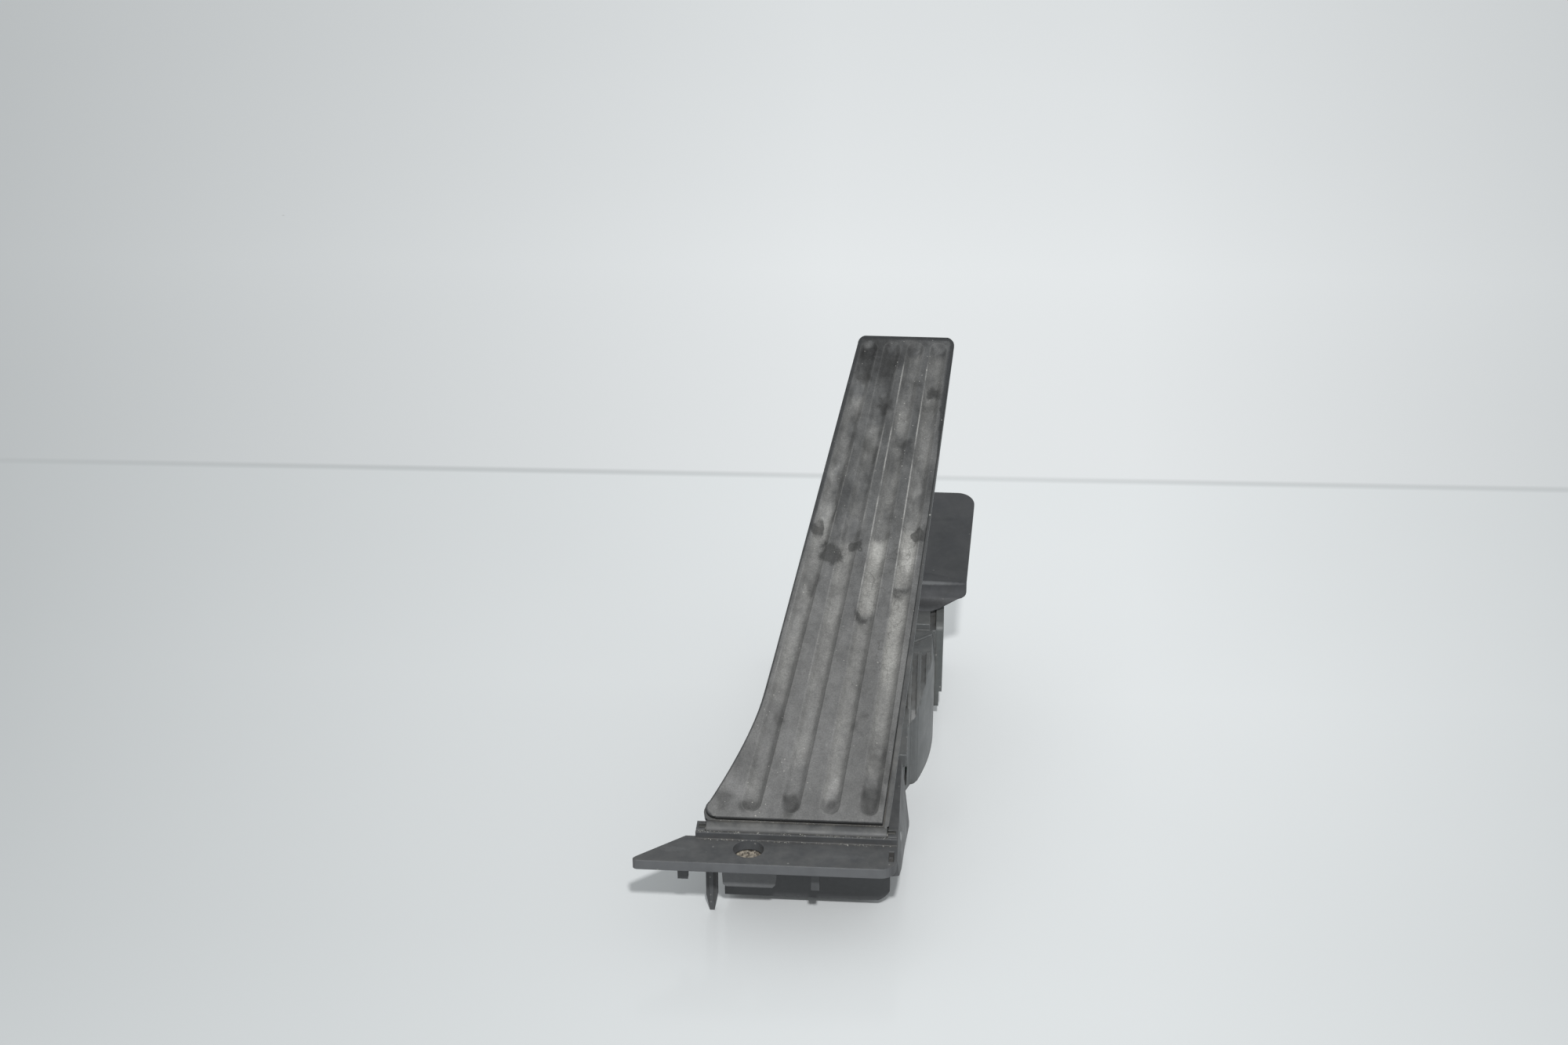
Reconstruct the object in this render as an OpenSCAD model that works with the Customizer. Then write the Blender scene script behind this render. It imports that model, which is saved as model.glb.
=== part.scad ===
// Floor-hinged electronic accelerator pedal module.
// Millimetres. X to the right, Y away from the driver's heel, Z up.
// The origin is the centre of the screw hole, at the flange's top face.

/* [Pedal plate] */
// Length of the pedal plate along its slope
plate_len = 254; // [240:1:266]
// Slope of the released pedal, in degrees
rest_slope = 30; // [28:0.5:31]
// Travel of the pedal from released to floored, in degrees
pedal_travel = 16; // [13:0.5:17]
// Thickness of the moulded plate without its tread
plate_thick = 3.5; // [3:0.1:4]
// Depth of the stiffening ribs under the plate
plate_rib_depth = 6; // [4:0.5:7]
// Thickness of the stiffening ribs under the plate
plate_rib_thick = 2; // [1.5:0.1:3]
// Width of the plate at its hinge end
plate_foot_w = 75.7; // [72:0.1:76]
// Width of the plate at its far end
plate_head_w = 44.3; // [42:0.1:50]
// Sideways lean of the right edge over the full length
plate_lean = 21.8; // [18:0.2:23]
// Slope of the plate's left edge against its length, in degrees
left_slope = 9.5; // [8:0.1:10]
// Distance from the foot at which the left edge starts to flare out
waist_v = 62; // [54:1:80]
// Radius of the plate's corners
plate_corner_r = 5; // [3:0.5:7]

/* [Tread] */
// Thickness of the rubber tread
tread_thick = 2.3; // [1.8:0.1:3]
// Width of one groove in the tread
groove_w = 7.4; // [6:0.1:8.4]
// Depth of the grooves
groove_depth = 1.3; // [0.8:0.1:1.6]
// Margin of bare plate to the right of the tread
tread_margin_right = 2.4; // [1.5:0.1:3]
// Margin of bare plate on the other sides
tread_margin = 0.6; // [0.3:0.1:1.5]

/* [Hinge] */
// Radius of the hinge pin
hinge_pin_r = 2; // [1.6:0.1:2.4]
// Outer radius of the plate's hinge barrel
barrel_r = 3.6; // [3.3:0.1:3.8]
// Running clearance of each pin and shaft, on the radius
running_gap = 0.05; // [0.03:0.01:0.09]
// Height of the hinge axis above the flange's top face
hinge_z = 1.3; // [1:0.1:1.8]
// Distance of the hinge axis behind the screw hole
hinge_y = 11.5; // [11.3:0.1:12.5]

/* [Flange] */
// Radius of the screw hole
screw_hole_r = 6.25; // [5:0.05:6.5]
// Thickness of the mounting flange
flange_thick = 4.5; // [4:0.1:5]
// Reach of the flange in front of the screw hole
flange_front = 11; // [10:0.5:13]
// Reach of the flange to the left of the screw hole
flange_left = 46.3; // [42:0.1:50]
// Reach of the flange to the right of the screw hole
flange_right = 60.2; // [60:0.1:62]
// Height of the flange's top face above the resting surface
stand_height = 38.7; // [37:0.1:41]
// Height of the cross rib in front of the hinge
rib_height = 2.9; // [2:0.1:3.2]
// Width of the locating prong
prong_w = 4.9; // [4:0.1:6]
// Width of the block under the screw hole
block_w = 19; // [16:0.5:22]

/* [Base] */
// Wall thickness of the base moulding
wall = 3; // [2.5:0.1:3.5]
// Length of the high front deck behind the screw hole
deck_len = 77; // [70:1:79]
// Length of the base behind the stop tower
tail_len = 24.2; // [20:0.1:32]
// Outward slope of the right flank, over its height
flank_draft = 4.6; // [3:0.1:6]
// Gap kept between moving and fixed surfaces
free_gap = 0.3; // [0.25:0.01:0.4]

/* [Drive lever] */
// Distance from the lever's shaft to its cross pin
lever_len = 66.6; // [64:0.1:69]
// Depth of the cross pin below the plane through the hinge, released and floored
pin_depth = 10.05; // [9.8:0.05:11]
// Distance of the lever's shaft behind the screw hole
shaft_y = 123; // [121:0.5:125]
// Depth of the lever's shaft below the flange's top face
shaft_drop = 8.7; // [7:0.1:10]
// Radius of the lever's shaft
shaft_r = 4; // [3.5:0.1:4.5]
// Width of the lever arm
lever_w = 6; // [5:0.5:7]
// Radius of the cross pin in the lever's tip
cross_pin_r = 2.2; // [1.8:0.1:2.4]
// Radius of the glide heads that run in the guide slots
glide_r = 3.2; // [3:0.1:3.4]

/* [Springs] */
// Mean radius of the outer return spring
outer_spring_r = 14; // [13.5:0.1:15]
// Mean radius of the inner return spring
inner_spring_r = 10; // [9.8:0.1:10.4]
// Wire radius of the outer spring
outer_wire_r = 1.2; // [1:0.05:1.3]
// Wire radius of the inner spring
inner_wire_r = 1; // [0.8:0.05:1.1]
// Number of turns of each spring
spring_turns = 3; // [2:1:3]

/* [Sensor] */
// Radius of the housing's round front
drum_r = 46; // [45:0.5:48]
// Wall thickness of the sensor housing
sensor_wall = 2.5; // [2:0.1:3]
// Distance of the housing's rear face behind the screw hole
sensor_len = 214; // [210:1:218]
// Height of the housing's top above the flange's top face
sensor_top = 12; // [10:0.5:13]
// Thickness of the sensor board
board_thick = 1.6; // [1:0.1:2]
// Thickness of the housing's cover
cover_thick = 3.6; // [3:0.1:4]
// Number of terminals in each of the two rows
pins_per_row = 3; // [2:1:3]

/* [Side plate] */
// Thickness of the side plate
side_thick = 2; // [1.5:0.1:2.5]
// Slope of the side plate, in degrees
side_slope = 16.4; // [15:0.1:17.5]
// Length of the side plate's sloping panel
side_len = 76; // [70:1:78]
// Radius of the side plate's far corner
side_corner_r = 8; // [5:0.5:10]
// Angle of the side plate's lower fold, in degrees
side_fold = 25; // [20:1:30]
// Length of the panel below the fold
side_foot = 15; // [12:0.5:16]

/* [Hidden] */
$fn = 48;

// Small shared sizes
eps = 0.01;
ground_z = -stand_height;
shaft_z = -shaft_drop;
top_n = plate_thick - 1.2 + tread_thick;
plate_top = plate_thick - 1.2;
plate_bottom = -1.2;
rib_bottom = plate_bottom - plate_rib_depth;
foot_a = 1.8;
// The tread starts clear of the hinge barrel
tread_foot = sqrt(pow(barrel_r + 0.3, 2) - pow(plate_top, 2)) - foot_a;
// Plan of the pedal plate, x against the distance v along its slope
plate_right_foot = 56.1;
plate_right_head = plate_right_foot + plate_lean;
plate_left_head = plate_right_head - plate_head_w;
plate_left_foot = plate_right_foot - plate_foot_w;
// The left edge is straight from the head to the waist, then flares out to the foot
waist_x = plate_left_head - (plate_len - waist_v) * tan(left_slope);
flare_mid_v = waist_v - 22;
flare_end = [plate_left_foot + 0.8, 7.4];

// Base layout
base_left_front = -12;
base_left_rear = 5;
base_right = 52;
front_wall_y = 16.5;
low_wall_z = ground_z + 4.7;
box_corner_r = 10;
// Lower edge of the right flank, as (y, z)
flank_low = [[-flange_front, -flange_thick], [9, -12.6], [34, -18.7], [deck_len - 12, low_wall_z + 5.3],
             [deck_len, low_wall_z + 5.3]];
deck_rib_x = [8, 22, 36, 48];
deck_rib_y = [36, 55];
deck_rib_thick = 2;
deck_rib_depth = 6;
tray_height = 20;
pedestal_x = 14;
hub_left = pedestal_x + wall + 1 + free_gap;
hub_x0 = 34;
hub_x1 = 46;
hub_r = 11;
neck_r = inner_spring_r - inner_wire_r - 1;
// The outer spring lies between the two legs of the inner one
inner_spring_x = [hub_left + free_gap + inner_wire_r, hub_x0 - 1 - inner_wire_r];
outer_spring_x = [inner_spring_x[0] + inner_wire_r + outer_wire_r + 0.2, inner_spring_x[1] - inner_wire_r - outer_wire_r - 0.2];
lever_x = (hub_x0 + hub_x1) / 2;
bush_r = shaft_r + 2;
bush_flange_r = bush_r + 1.8;
tip_r = 6;
// Angles of the lever above the Y axis that keep the cross pin at its depth, released and floored
floored_slope = rest_slope - pedal_travel;
function shaft_below(s) = (shaft_y - hinge_y) * sin(s) - (shaft_z - hinge_z) * cos(s);
function lever_angle(s) = s + asin((shaft_below(s) - pin_depth) / lever_len);
lever_rest = lever_angle(rest_slope);
lever_floored = lever_angle(floored_slope);

// Rest stop of the lever
up_stop_z = [3, 11];
up_stop_len = 10.05;
arm_half_w = 7.7;
// Foremost place of the lever arm's front face within the stop's height
arm_front_y = min([for (z = up_stop_z) shaft_y + (z - shaft_z) / tan(lever_rest) - arm_half_w / sin(lever_rest)]);
up_stop_y = arm_front_y - free_gap - up_stop_len;

// Guide track
track_rib_w = 3;
track_gap = 2.5;
track_wall = 2.4;
slot_r = glide_r + free_gap;
track_outer_r = slot_r + track_wall;
track_steps = 16;
track_plate = 1.8;
// Reach of the track's mounting plate past its slots, and place of its screws there
track_foot = 6;
track_screw = 2.5;
track_x0 = lever_x - lever_w / 2 - track_gap - track_rib_w;
track_x1 = lever_x + lever_w / 2 + track_gap;
overrun = 0.03;

// Sensor layout
drum_y = 104 + drum_r;
drum_z = sensor_top - drum_r;
sensor_right = 73.3;
rear_box_y = 167.5;
board_x = 61.6;
board_y0 = 117.4;
rotor_r = 6;
rotor_x0 = 56.8;
rotor_x1 = board_x - 1.2;
socket_len = 16;
socket_x = [56, 72];
socket_z = [-34, -14];
post_r = 2.5;
post_places = [[142, -26], [196, -28], [196, -4]];

// Side plate frame
side_y = 170;
side_z = 24.3;
side_right_near = 86.6;
side_right_far = 90.4;
side_left = base_right - wall + 0.4;
side_boss_r = 4.5;
side_screw_u = [18, 52];
side_screw_x = 55;

// Points along an arc about c, from angle a0 to a1
function arc(c, r, a0, a1, n = 12) =
  [for (i = [0:n]) c + r * [cos(a0 + (a1 - a0) * i / n), sin(a0 + (a1 - a0) * i / n)]];

// Place of the cross pin beside the pedal, in the pedal's own (a, n), at part t of the travel
function pin_yz(t) =
  let (g = lever_rest + (lever_floored - lever_rest) * t)
  [shaft_y + lever_len * cos(g), shaft_z + lever_len * sin(g)];
function pin_an(t) =
  let (p = pin_yz(t) - [hinge_y, hinge_z], s = rest_slope + (floored_slope - rest_slope) * t)
  [p[0] * cos(s) + p[1] * sin(s), -p[0] * sin(s) + p[1] * cos(s)];
function unit(v) = v / norm(v);
function left_of(v) = [-v[1], v[0]];
function pin_normal(t) = left_of(unit(pin_an(t + 0.01) - pin_an(t - 0.01)));

// Turns a profile drawn in (y, z) into a slab from x0 to x1
module slab_x(x0, x1) {
  translate([x0, 0, 0]) rotate([90, 0, 90]) linear_extrude(x1 - x0) children();
}
// Turns a profile drawn in (x, z) into a slab from y0 to y1
module slab_y(y0, y1) {
  translate([0, y1, 0]) rotate([90, 0, 0]) linear_extrude(y1 - y0) children();
}
module rod_x(r, x0, x1, y, z) {
  translate([x0, y, z]) rotate([0, 90, 0]) cylinder(r = r, h = x1 - x0);
}
// A link with round ends of radius rp at p and rq at q
module round_link(p, rp, q, rq) {
  g = atan2(q[1] - p[1], q[0] - p[0]);
  polygon(concat(arc(p, rp, g + 90, g + 270), arc(q, rq, g - 90, g + 90)));
}
module rounded_box(x0, y0, x1, y1, r) {
  translate([x0 + r, y0]) square([x1 - x0 - 2 * r, y1 - y0]);
  translate([x0, y0 + r]) square([x1 - x0, y1 - y0 - 2 * r]);
  for (x = [x0 + r, x1 - r], y = [y0 + r, y1 - r]) translate([x, y]) circle(r);
}

// The pedal's own frame: local x, local y along the slope, local z out of the tread
module pedal_frame(s = rest_slope) {
  translate([0, hinge_y, hinge_z]) rotate([s, 0, 0]) children();
}
module pedal_slab(n0, n1) {
  pedal_frame() translate([0, 0, n0]) linear_extrude(n1 - n0) children();
}

// Outline of the pedal plate, drawn in by m_left, m_right, m_head and m_foot
function edge_right(v) = plate_right_foot + plate_lean * v / plate_len;
function flare_point(t) =
  let (bend = [waist_x - (waist_v - flare_mid_v) * tan(left_slope), flare_mid_v])
  (1 - t) * (1 - t) * [waist_x, waist_v] + 2 * t * (1 - t) * bend + t * t * flare_end;
module plate_outline(m_left = 0, m_right = 0, m_head = 0, m_foot = 0) {
  r = plate_corner_r - m_head;
  head = plate_len - m_head;
  right_head = edge_right(plate_len) - m_right;
  left_head = plate_left_head + m_left;
  left_foot = plate_left_foot + m_left;
  translate([0, foot_a])
  polygon(concat(
    [[plate_right_foot - m_right, m_foot]],
    arc([right_head - r - 0.4, head - r], r, 0, 90, 8),
    arc([left_head + r + 0.6, head - r], r, 90, 172, 8),
    [for (i = [0:10]) flare_point(i / 10) + [m_left, 0]],
    arc([left_foot + 4.4, m_foot + 4.8], 4.4, 155, 270, 8)
  ));
}
// Middles of the grooves' ends, set out from the plate's left edge
groove_foot_pitch = 15.9;
groove_head_pitch = 10.2;
function groove_foot(i) = [plate_left_foot + 19.4 + groove_foot_pitch * i, foot_a + 9.5];
function groove_head(i) = [plate_left_head + 6.4 + groove_head_pitch * i, foot_a + plate_len - 8.2];

module tread() {
  color("#5b5b59")
  difference() {
    pedal_slab(plate_top, top_n) plate_outline(tread_margin, tread_margin_right, tread_margin, tread_foot);
    for (i = [0:3])
      pedal_slab(top_n - groove_depth, top_n + 1) round_link(groove_foot(i), groove_w / 2, groove_head(i), groove_w / 2);
  }
}

rib_start = 24;
rib_pitch = 28;
rear_rib_pitch = 25;
stop_pad_w = 15;
module plate_ribs() {
  // Two long ribs, cut away around the guide track's seat
  difference() {
    for (f = [0.2, 0.8])
      polygon([
        [plate_left_foot + plate_foot_w * f, rib_start],
        [plate_left_foot + plate_foot_w * f + plate_rib_thick, rib_start],
        [plate_left_head + plate_head_w * f + plate_rib_thick, plate_len], [plate_left_head + plate_head_w * f, plate_len]
      ]);
    translate([track_x0 - 1, track_a0 - track_foot - 1])
      square([track_x1 + track_rib_w - track_x0 + 2, track_a1 - track_a0 + 2 * track_foot + 2]);
  }
  for (a = [rib_start : rib_pitch : track_a0 - track_foot - 2])
    translate([plate_left_foot, a]) square([plate_foot_w + plate_lean, plate_rib_thick]);
  for (a = [stop_a - plate_rib_thick / 2 : rear_rib_pitch : plate_len - 8])
    translate([plate_left_foot, a]) square([plate_foot_w + plate_lean, plate_rib_thick]);
  // Pad that meets the lower stop
  translate([lever_x - stop_pad_w / 2, stop_a - stop_pad_w / 2]) square(stop_pad_w);
}
module pedal_plate() {
  color("#3a3b3d")
  difference() {
    union() {
      pedal_slab(plate_bottom, plate_top) plate_outline();
      // Raised step beside the tread
      pedal_slab(plate_top - eps, plate_top + tread_thick * 0.5)
        difference() {
          plate_outline();
          plate_outline(-1, tread_margin_right - 0.15, -5, -5);
          translate([plate_left_foot - 5, -5]) square([50, plate_len + 20]);
        }
      pedal_slab(rib_bottom, plate_bottom + eps)
        intersection() {
          plate_outline(1, 1, 1, 1);
          union() {
            plate_ribs();
            difference() {
              translate([plate_left_foot - 5, rib_start]) square([plate_foot_w + plate_lean + 10, plate_len]);
              plate_outline(1 + plate_rib_thick, 1 + plate_rib_thick, 1 + plate_rib_thick, 1);
            }
          }
        }
      rod_x(barrel_r, plate_left_foot + 1.5, plate_right_foot - 0.5, hinge_y, hinge_z);
    }
    rod_x(hinge_pin_r + running_gap, plate_left_foot - 5, plate_right_foot + 5, hinge_y, hinge_z);
    // Nothing of the plate reaches past the ends of the barrel in front of the lugs
    rod_x(barrel_r + 0.6, plate_right_foot - 0.5, plate_right_foot + 6, hinge_y, hinge_z);
    rod_x(barrel_r + 0.6, plate_left_foot - 5, plate_left_foot + 1.5, hinge_y, hinge_z);
  }
}

track_a0 = pin_an(0)[0] - track_outer_r;
track_a1 = pin_an(1)[0] + track_outer_r;
module pin_path_band(r) {
  ts = [for (i = [0:track_steps]) -overrun + (1 + 2 * overrun) * i / track_steps];
  // Direction of the path at each step, a quarter turn back from its normal
  along = [for (t = ts) atan2(-pin_normal(t)[0], pin_normal(t)[1])];
  polygon(concat(
    [for (i = [1:track_steps - 1]) pin_an(ts[i]) + r * pin_normal(ts[i])],
    arc(pin_an(ts[track_steps]), r, along[track_steps] + 90, along[track_steps] - 90),
    [for (i = [track_steps - 1:-1:1]) pin_an(ts[i]) - r * pin_normal(ts[i])],
    arc(pin_an(ts[0]), r, along[0] + 270, along[0] + 90)
  ));
}
module guide_track() {
  color("#4b4c4e") {
    for (x = [track_x0, track_x1])
      pedal_frame() slab_x(x, x + track_rib_w)
        difference() {
          union() {
            pin_path_band(track_outer_r);
            translate([track_a0 + 2, pin_an(0.5)[1]])
              square([track_a1 - track_a0 - 4, plate_bottom - pin_an(0.5)[1]]);
          }
          pin_path_band(slot_r);
          translate([track_a0 - 5, plate_bottom]) square([track_a1 - track_a0 + 10, 20]);
        }
    pedal_slab(plate_bottom - track_plate, plate_bottom)
      difference() {
        translate([track_x0, track_a0 - track_foot])
          square([track_x1 + track_rib_w - track_x0, track_a1 - track_a0 + 2 * track_foot]);
        for (a = [track_a0 - track_screw, track_a1 + track_screw]) translate([lever_x, a]) circle(1.5);
      }
  }
}
module guide_screws() {
  color("#9a9a9a")
  for (a = [track_a0 - track_screw, track_a1 + track_screw])
    pedal_frame() translate([lever_x, a, plate_bottom - track_plate]) mirror([0, 0, 1])
      difference() {
        union() {
          cylinder(r = 2.8, h = 1.8);
          translate([0, 0, -track_plate]) cylinder(r = 1.45, h = track_plate + eps);
        }
        translate([0, 0, 0.8]) cylinder(r = 1.2, h = 2, $fn = 6);
      }
}

module lever_profile() {
  round_link([shaft_y, shaft_z], 8, pin_yz(0), tip_r);
}
peg_reach = 22;
peg_at = [shaft_y, shaft_z] + peg_reach * [cos(lever_rest), sin(lever_rest)];
peg_r = 3;
module drive_lever() {
  web_from = [shaft_y, shaft_z] + 17 * [cos(lever_rest), sin(lever_rest)];
  web_to = [shaft_y, shaft_z] + (lever_len - 12) * [cos(lever_rest), sin(lever_rest)];
  color("#47484a")
  difference() {
    union() {
      slab_x(lever_x - lever_w / 2, lever_x + lever_w / 2) lever_profile();
      rod_x(hub_r, hub_x0, hub_x1, shaft_y, shaft_z);
      rod_x(neck_r, hub_left, hub_x0 + eps, shaft_y, shaft_z);
      rod_x(peg_r, pedestal_x + wall + 3, lever_x, peg_at[0], peg_at[1]);
    }
    rod_x(shaft_r, hub_left - 1, hub_x1 + 1, shaft_y, shaft_z);
    rod_x(cross_pin_r, hub_x0 - 5, hub_x1 + 5, pin_yz(0)[0], pin_yz(0)[1]);
    // Lightening pockets on both faces leave a central web
    for (x = [lever_x - lever_w / 2 - 1, lever_x + 1]) {
      slab_x(x, x + lever_w / 2) round_link(web_from + [0, 12], 4, web_to, 3.2);
    }
  }
}
module lever_shaft() {
  color("#a8a8a6")
  difference() {
    rod_x(shaft_r, pedestal_x - 3.5, rotor_x1 - 1, shaft_y, shaft_z);
    // Groove of the retaining ring
    difference() {
      rod_x(shaft_r + 1, pedestal_x - 2.5, pedestal_x - 1.5, shaft_y, shaft_z);
      rod_x(shaft_r - 0.6, pedestal_x - 3, pedestal_x - 1, shaft_y, shaft_z);
    }
  }
}
module retaining_ring() {
  color("#8c8c8c")
  difference() {
    rod_x(shaft_r + 2.2, pedestal_x - 2.4, pedestal_x - 1.6, shaft_y, shaft_z);
    rod_x(shaft_r - 0.5, pedestal_x - 3, pedestal_x - 1, shaft_y, shaft_z);
    translate([pedestal_x - 3, shaft_y - shaft_r * 0.8, shaft_z - 10]) cube([2, shaft_r * 1.6, 10]);
  }
}
module cross_pin() {
  reach = lever_w / 2 + track_gap + track_rib_w;
  color("#b0b0ae")
  rod_x(cross_pin_r, lever_x - reach, lever_x + reach, pin_yz(0)[0], pin_yz(0)[1]);
}
module glide_heads() {
  near = lever_w / 2 + 1;
  far = lever_w / 2 + track_gap + track_rib_w + 0.8;
  color("#c9c6b8")
  difference() {
    for (s = [-1, 1])
      rod_x(glide_r, min(lever_x + s * near, lever_x + s * far), max(lever_x + s * near, lever_x + s * far),
            pin_yz(0)[0], pin_yz(0)[1]);
    rod_x(cross_pin_r, lever_x - far + 0.8, lever_x + far - 0.8, pin_yz(0)[0], pin_yz(0)[1]);
  }
}
module rotor() {
  color("#2f3a46")
  difference() {
    rod_x(rotor_r, rotor_x0, rotor_x1, shaft_y, shaft_z);
    rod_x(shaft_r, rotor_x0 - 1, rotor_x1 - 1, shaft_y, shaft_z);
    translate([rotor_x1 - 1 - eps, shaft_y - 2, shaft_z - 3]) cube([2, 4, 6]);
  }
}
module rotor_magnet() {
  color("#6e6e72")
  translate([rotor_x1 - 1, shaft_y - 2, shaft_z - 3]) cube([1, 4, 6]);
}

// A round wire along a list of points
function tube_ring(p, d, r, n) =
  let (u = unit(cross(d, abs(unit(d)[0]) < 0.9 ? [1, 0, 0] : [0, 1, 0])), w = cross(unit(d), u))
  [for (i = [0:n - 1]) p + r * (u * cos(360 * i / n) + w * sin(360 * i / n))];
module wire(path, r, n = 8) {
  last = len(path) - 1;
  points = [for (k = [0:last]) each tube_ring(path[k], path[min(k + 1, last)] - path[max(k - 1, 0)], r, n)];
  sides = [for (k = [0:last - 1], i = [0:n - 1])
    [k * n + i, k * n + (i + 1) % n, (k + 1) * n + (i + 1) % n, (k + 1) * n + i]];
  polyhedron(points, concat([[for (i = [n - 1:-1:0]) i]], sides, [[for (i = [0:n - 1]) last * n + i]]));
}
// Torsion spring about the shaft: a leg to the base, the turns, and a leg that lies behind the lever's peg
module torsion_spring(r, wire_r, x0, x1, fixed_angle, moving_reach) {
  moving_angle = lever_rest - acos((r - wire_r - peg_r - free_gap) / peg_reach);
  leg_y = up_stop_y + wire_r + free_gap;
  fixed_reach = (leg_y - shaft_y - r * cos(fixed_angle)) / sin(fixed_angle);
  sweep = moving_angle - fixed_angle + 360 * spring_turns;
  steps = 20 * spring_turns;
  turn = [for (i = [0:steps])
    let (g = fixed_angle + sweep * i / steps, x = x0 + (x1 - x0) * i / steps)
    [x, shaft_y + r * cos(g), shaft_z + r * sin(g)]];
  fixed_dir = [0, sin(fixed_angle), -cos(fixed_angle)];
  moving_dir = [0, -sin(moving_angle), cos(moving_angle)];
  wire(concat([turn[0] + fixed_reach * fixed_dir], turn, [turn[steps] + moving_reach * moving_dir]), wire_r);
}
module outer_spring() {
  color("#8f9193")
  torsion_spring(outer_spring_r, outer_wire_r, outer_spring_x[0], outer_spring_x[1], 205, 26);
}
module inner_spring() {
  color("#86888a")
  torsion_spring(inner_spring_r, inner_wire_r, inner_spring_x[0], inner_spring_x[1], 215, 25);
}

module bush(x0, x1, flange_x) {
  color("#b9b39a")
  difference() {
    union() {
      rod_x(bush_r, x0, x1, shaft_y, shaft_z);
      rod_x(bush_flange_r, flange_x, flange_x + 1, shaft_y, shaft_z);
    }
    rod_x(shaft_r + running_gap, x0 - 2, x1 + 2, shaft_y, shaft_z);
  }
}
module left_bush() {
  bush(pedestal_x, pedestal_x + wall + 1, pedestal_x + wall);
}
module right_bush() {
  bush(base_right - wall - 1, base_right + sensor_wall + 1, base_right - wall - 1);
}

// Plan of the flange and of the front deck
module flange_plan() {
  r = 7;
  polygon(concat(
    [[-flange_left + 1.2, -flange_front], [-flange_left, -flange_front + 1.5], [-flange_left + 20, 8]],
    [[flange_right, 8]],
    arc([flange_right - r, -flange_front + r], r, 0, -90, 8)
  ));
}
module deck_plan() {
  r = 8;
  polygon(concat(
    [[base_left_front, 0], [base_left_front, deck_len - 2 * r], [base_left_front + 4.5, deck_len]],
    arc([flange_right - r, deck_len - r], r, 90, 0, 8),
    [[flange_right, 0]]
  ));
}
module flank() {
  // Sloping right wall, rounded into the flange's corner in plan and rising towards the front
  intersection() {
    slab_x(flange_right - 10, flange_right + 10)
      polygon(concat([[deck_len, 0], [-flange_front, 0]], flank_low));
    slab_y(-flange_front, deck_len)
      polygon([[flange_right - wall, 0], [flange_right, 0], [flange_right + flank_draft, low_wall_z],
               [flange_right + flank_draft - wall, low_wall_z]]);
    translate([0, 0, low_wall_z]) linear_extrude(stand_height)
      polygon(concat([[0, deck_len], [0, -flange_front + 7]],
        arc([flange_right - 5, 4], 10, -90, 0, 8), [[flange_right + 5, deck_len - 10], [flange_right - 6, deck_len]]));
  }
}
function left_x(y) = base_left_front + (base_left_rear - base_left_front) * (y - 9) / (base_len - 9);
module wall_plan(inset = 0) {
  polygon([[left_x(front_wall_y) + inset, front_wall_y + inset], [flange_right - wall - inset, front_wall_y + inset],
           [flange_right - wall - inset, deck_len - inset], [base_right - inset, deck_len - inset],
           [base_right - inset, base_len - inset], [left_x(base_len) + inset, base_len - inset]]);
}
// The part of the base's plan between y0 and y1
module wall_band(y0, y1, inset = 0) {
  intersection() {
    wall_plan(inset);
    translate([base_left_front - 10, y0]) square([flange_right + 30, y1 - y0]);
  }
}
module base_walls() {
  // Front box below the deck, open underneath, with a round lower right corner
  corner = [flange_right - wall - box_corner_r + 1, low_wall_z + box_corner_r - 1];
  intersection() {
    translate([0, 0, low_wall_z]) linear_extrude(-low_wall_z - 1)
      difference() {
        wall_band(0, deck_len);
        wall_band(0, deck_len - wall, wall);
      }
    slab_y(0, deck_len + 5)
      polygon(concat([[base_left_front - 10, 1], [base_left_front - 10, low_wall_z - 1]],
        arc(corner, box_corner_r, -90, 0), [[corner[0] + box_corner_r, 1]]));
  }
  // Rear tray with a floor
  translate([0, 0, ground_z]) linear_extrude(tray_height)
    difference() {
      wall_band(deck_len - wall, base_len + 1);
      wall_band(deck_len, base_len, wall);
    }
  translate([0, 0, ground_z]) linear_extrude(wall)
    wall_band(deck_len - wall, base_len + 1);
  // Step between the deck box and the tray
  translate([0, 0, ground_z]) linear_extrude(-ground_z - 1)
    wall_band(deck_len - wall, deck_len);
}
// Shallow stiffening ribs under the deck
module front_ribs() {
  rib_z = -flange_thick - deck_rib_depth;
  for (x = deck_rib_x)
    translate([x, front_wall_y + 1, rib_z]) cube([deck_rib_thick, deck_len - front_wall_y - 2, deck_rib_depth + 1]);
  for (y = deck_rib_y)
    translate([left_x(y) + 1, y, rib_z]) cube([flange_right - wall - 1 - left_x(y) - 1, deck_rib_thick, deck_rib_depth + 1]);
}
module pedestal(x0, x1, r) {
  slab_x(x0, x1)
    union() {
      translate([shaft_y, shaft_z]) circle(r);
      polygon([[shaft_y - r, shaft_z], [shaft_y + r, shaft_z], [shaft_y + r + 8, ground_z + 1], [shaft_y - r - 8, ground_z + 1]]);
    }
}
module stop_bridge() {
  translate([pedestal_x + wall, up_stop_y - 4, ground_z + 1])
    cube([base_right - wall - pedestal_x, 4, -ground_z + up_stop_z[1] + 0.5]);
}
module up_stop() {
  color("#262626")
  difference() {
    translate([lever_x - 4, up_stop_y, up_stop_z[0]]) cube([8, up_stop_len, up_stop_z[1] - up_stop_z[0]]);
    translate([lever_x - 5, up_stop_y + 3, up_stop_z[0] + 3]) cube([10, 1.5, 2]);
  }
}
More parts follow.
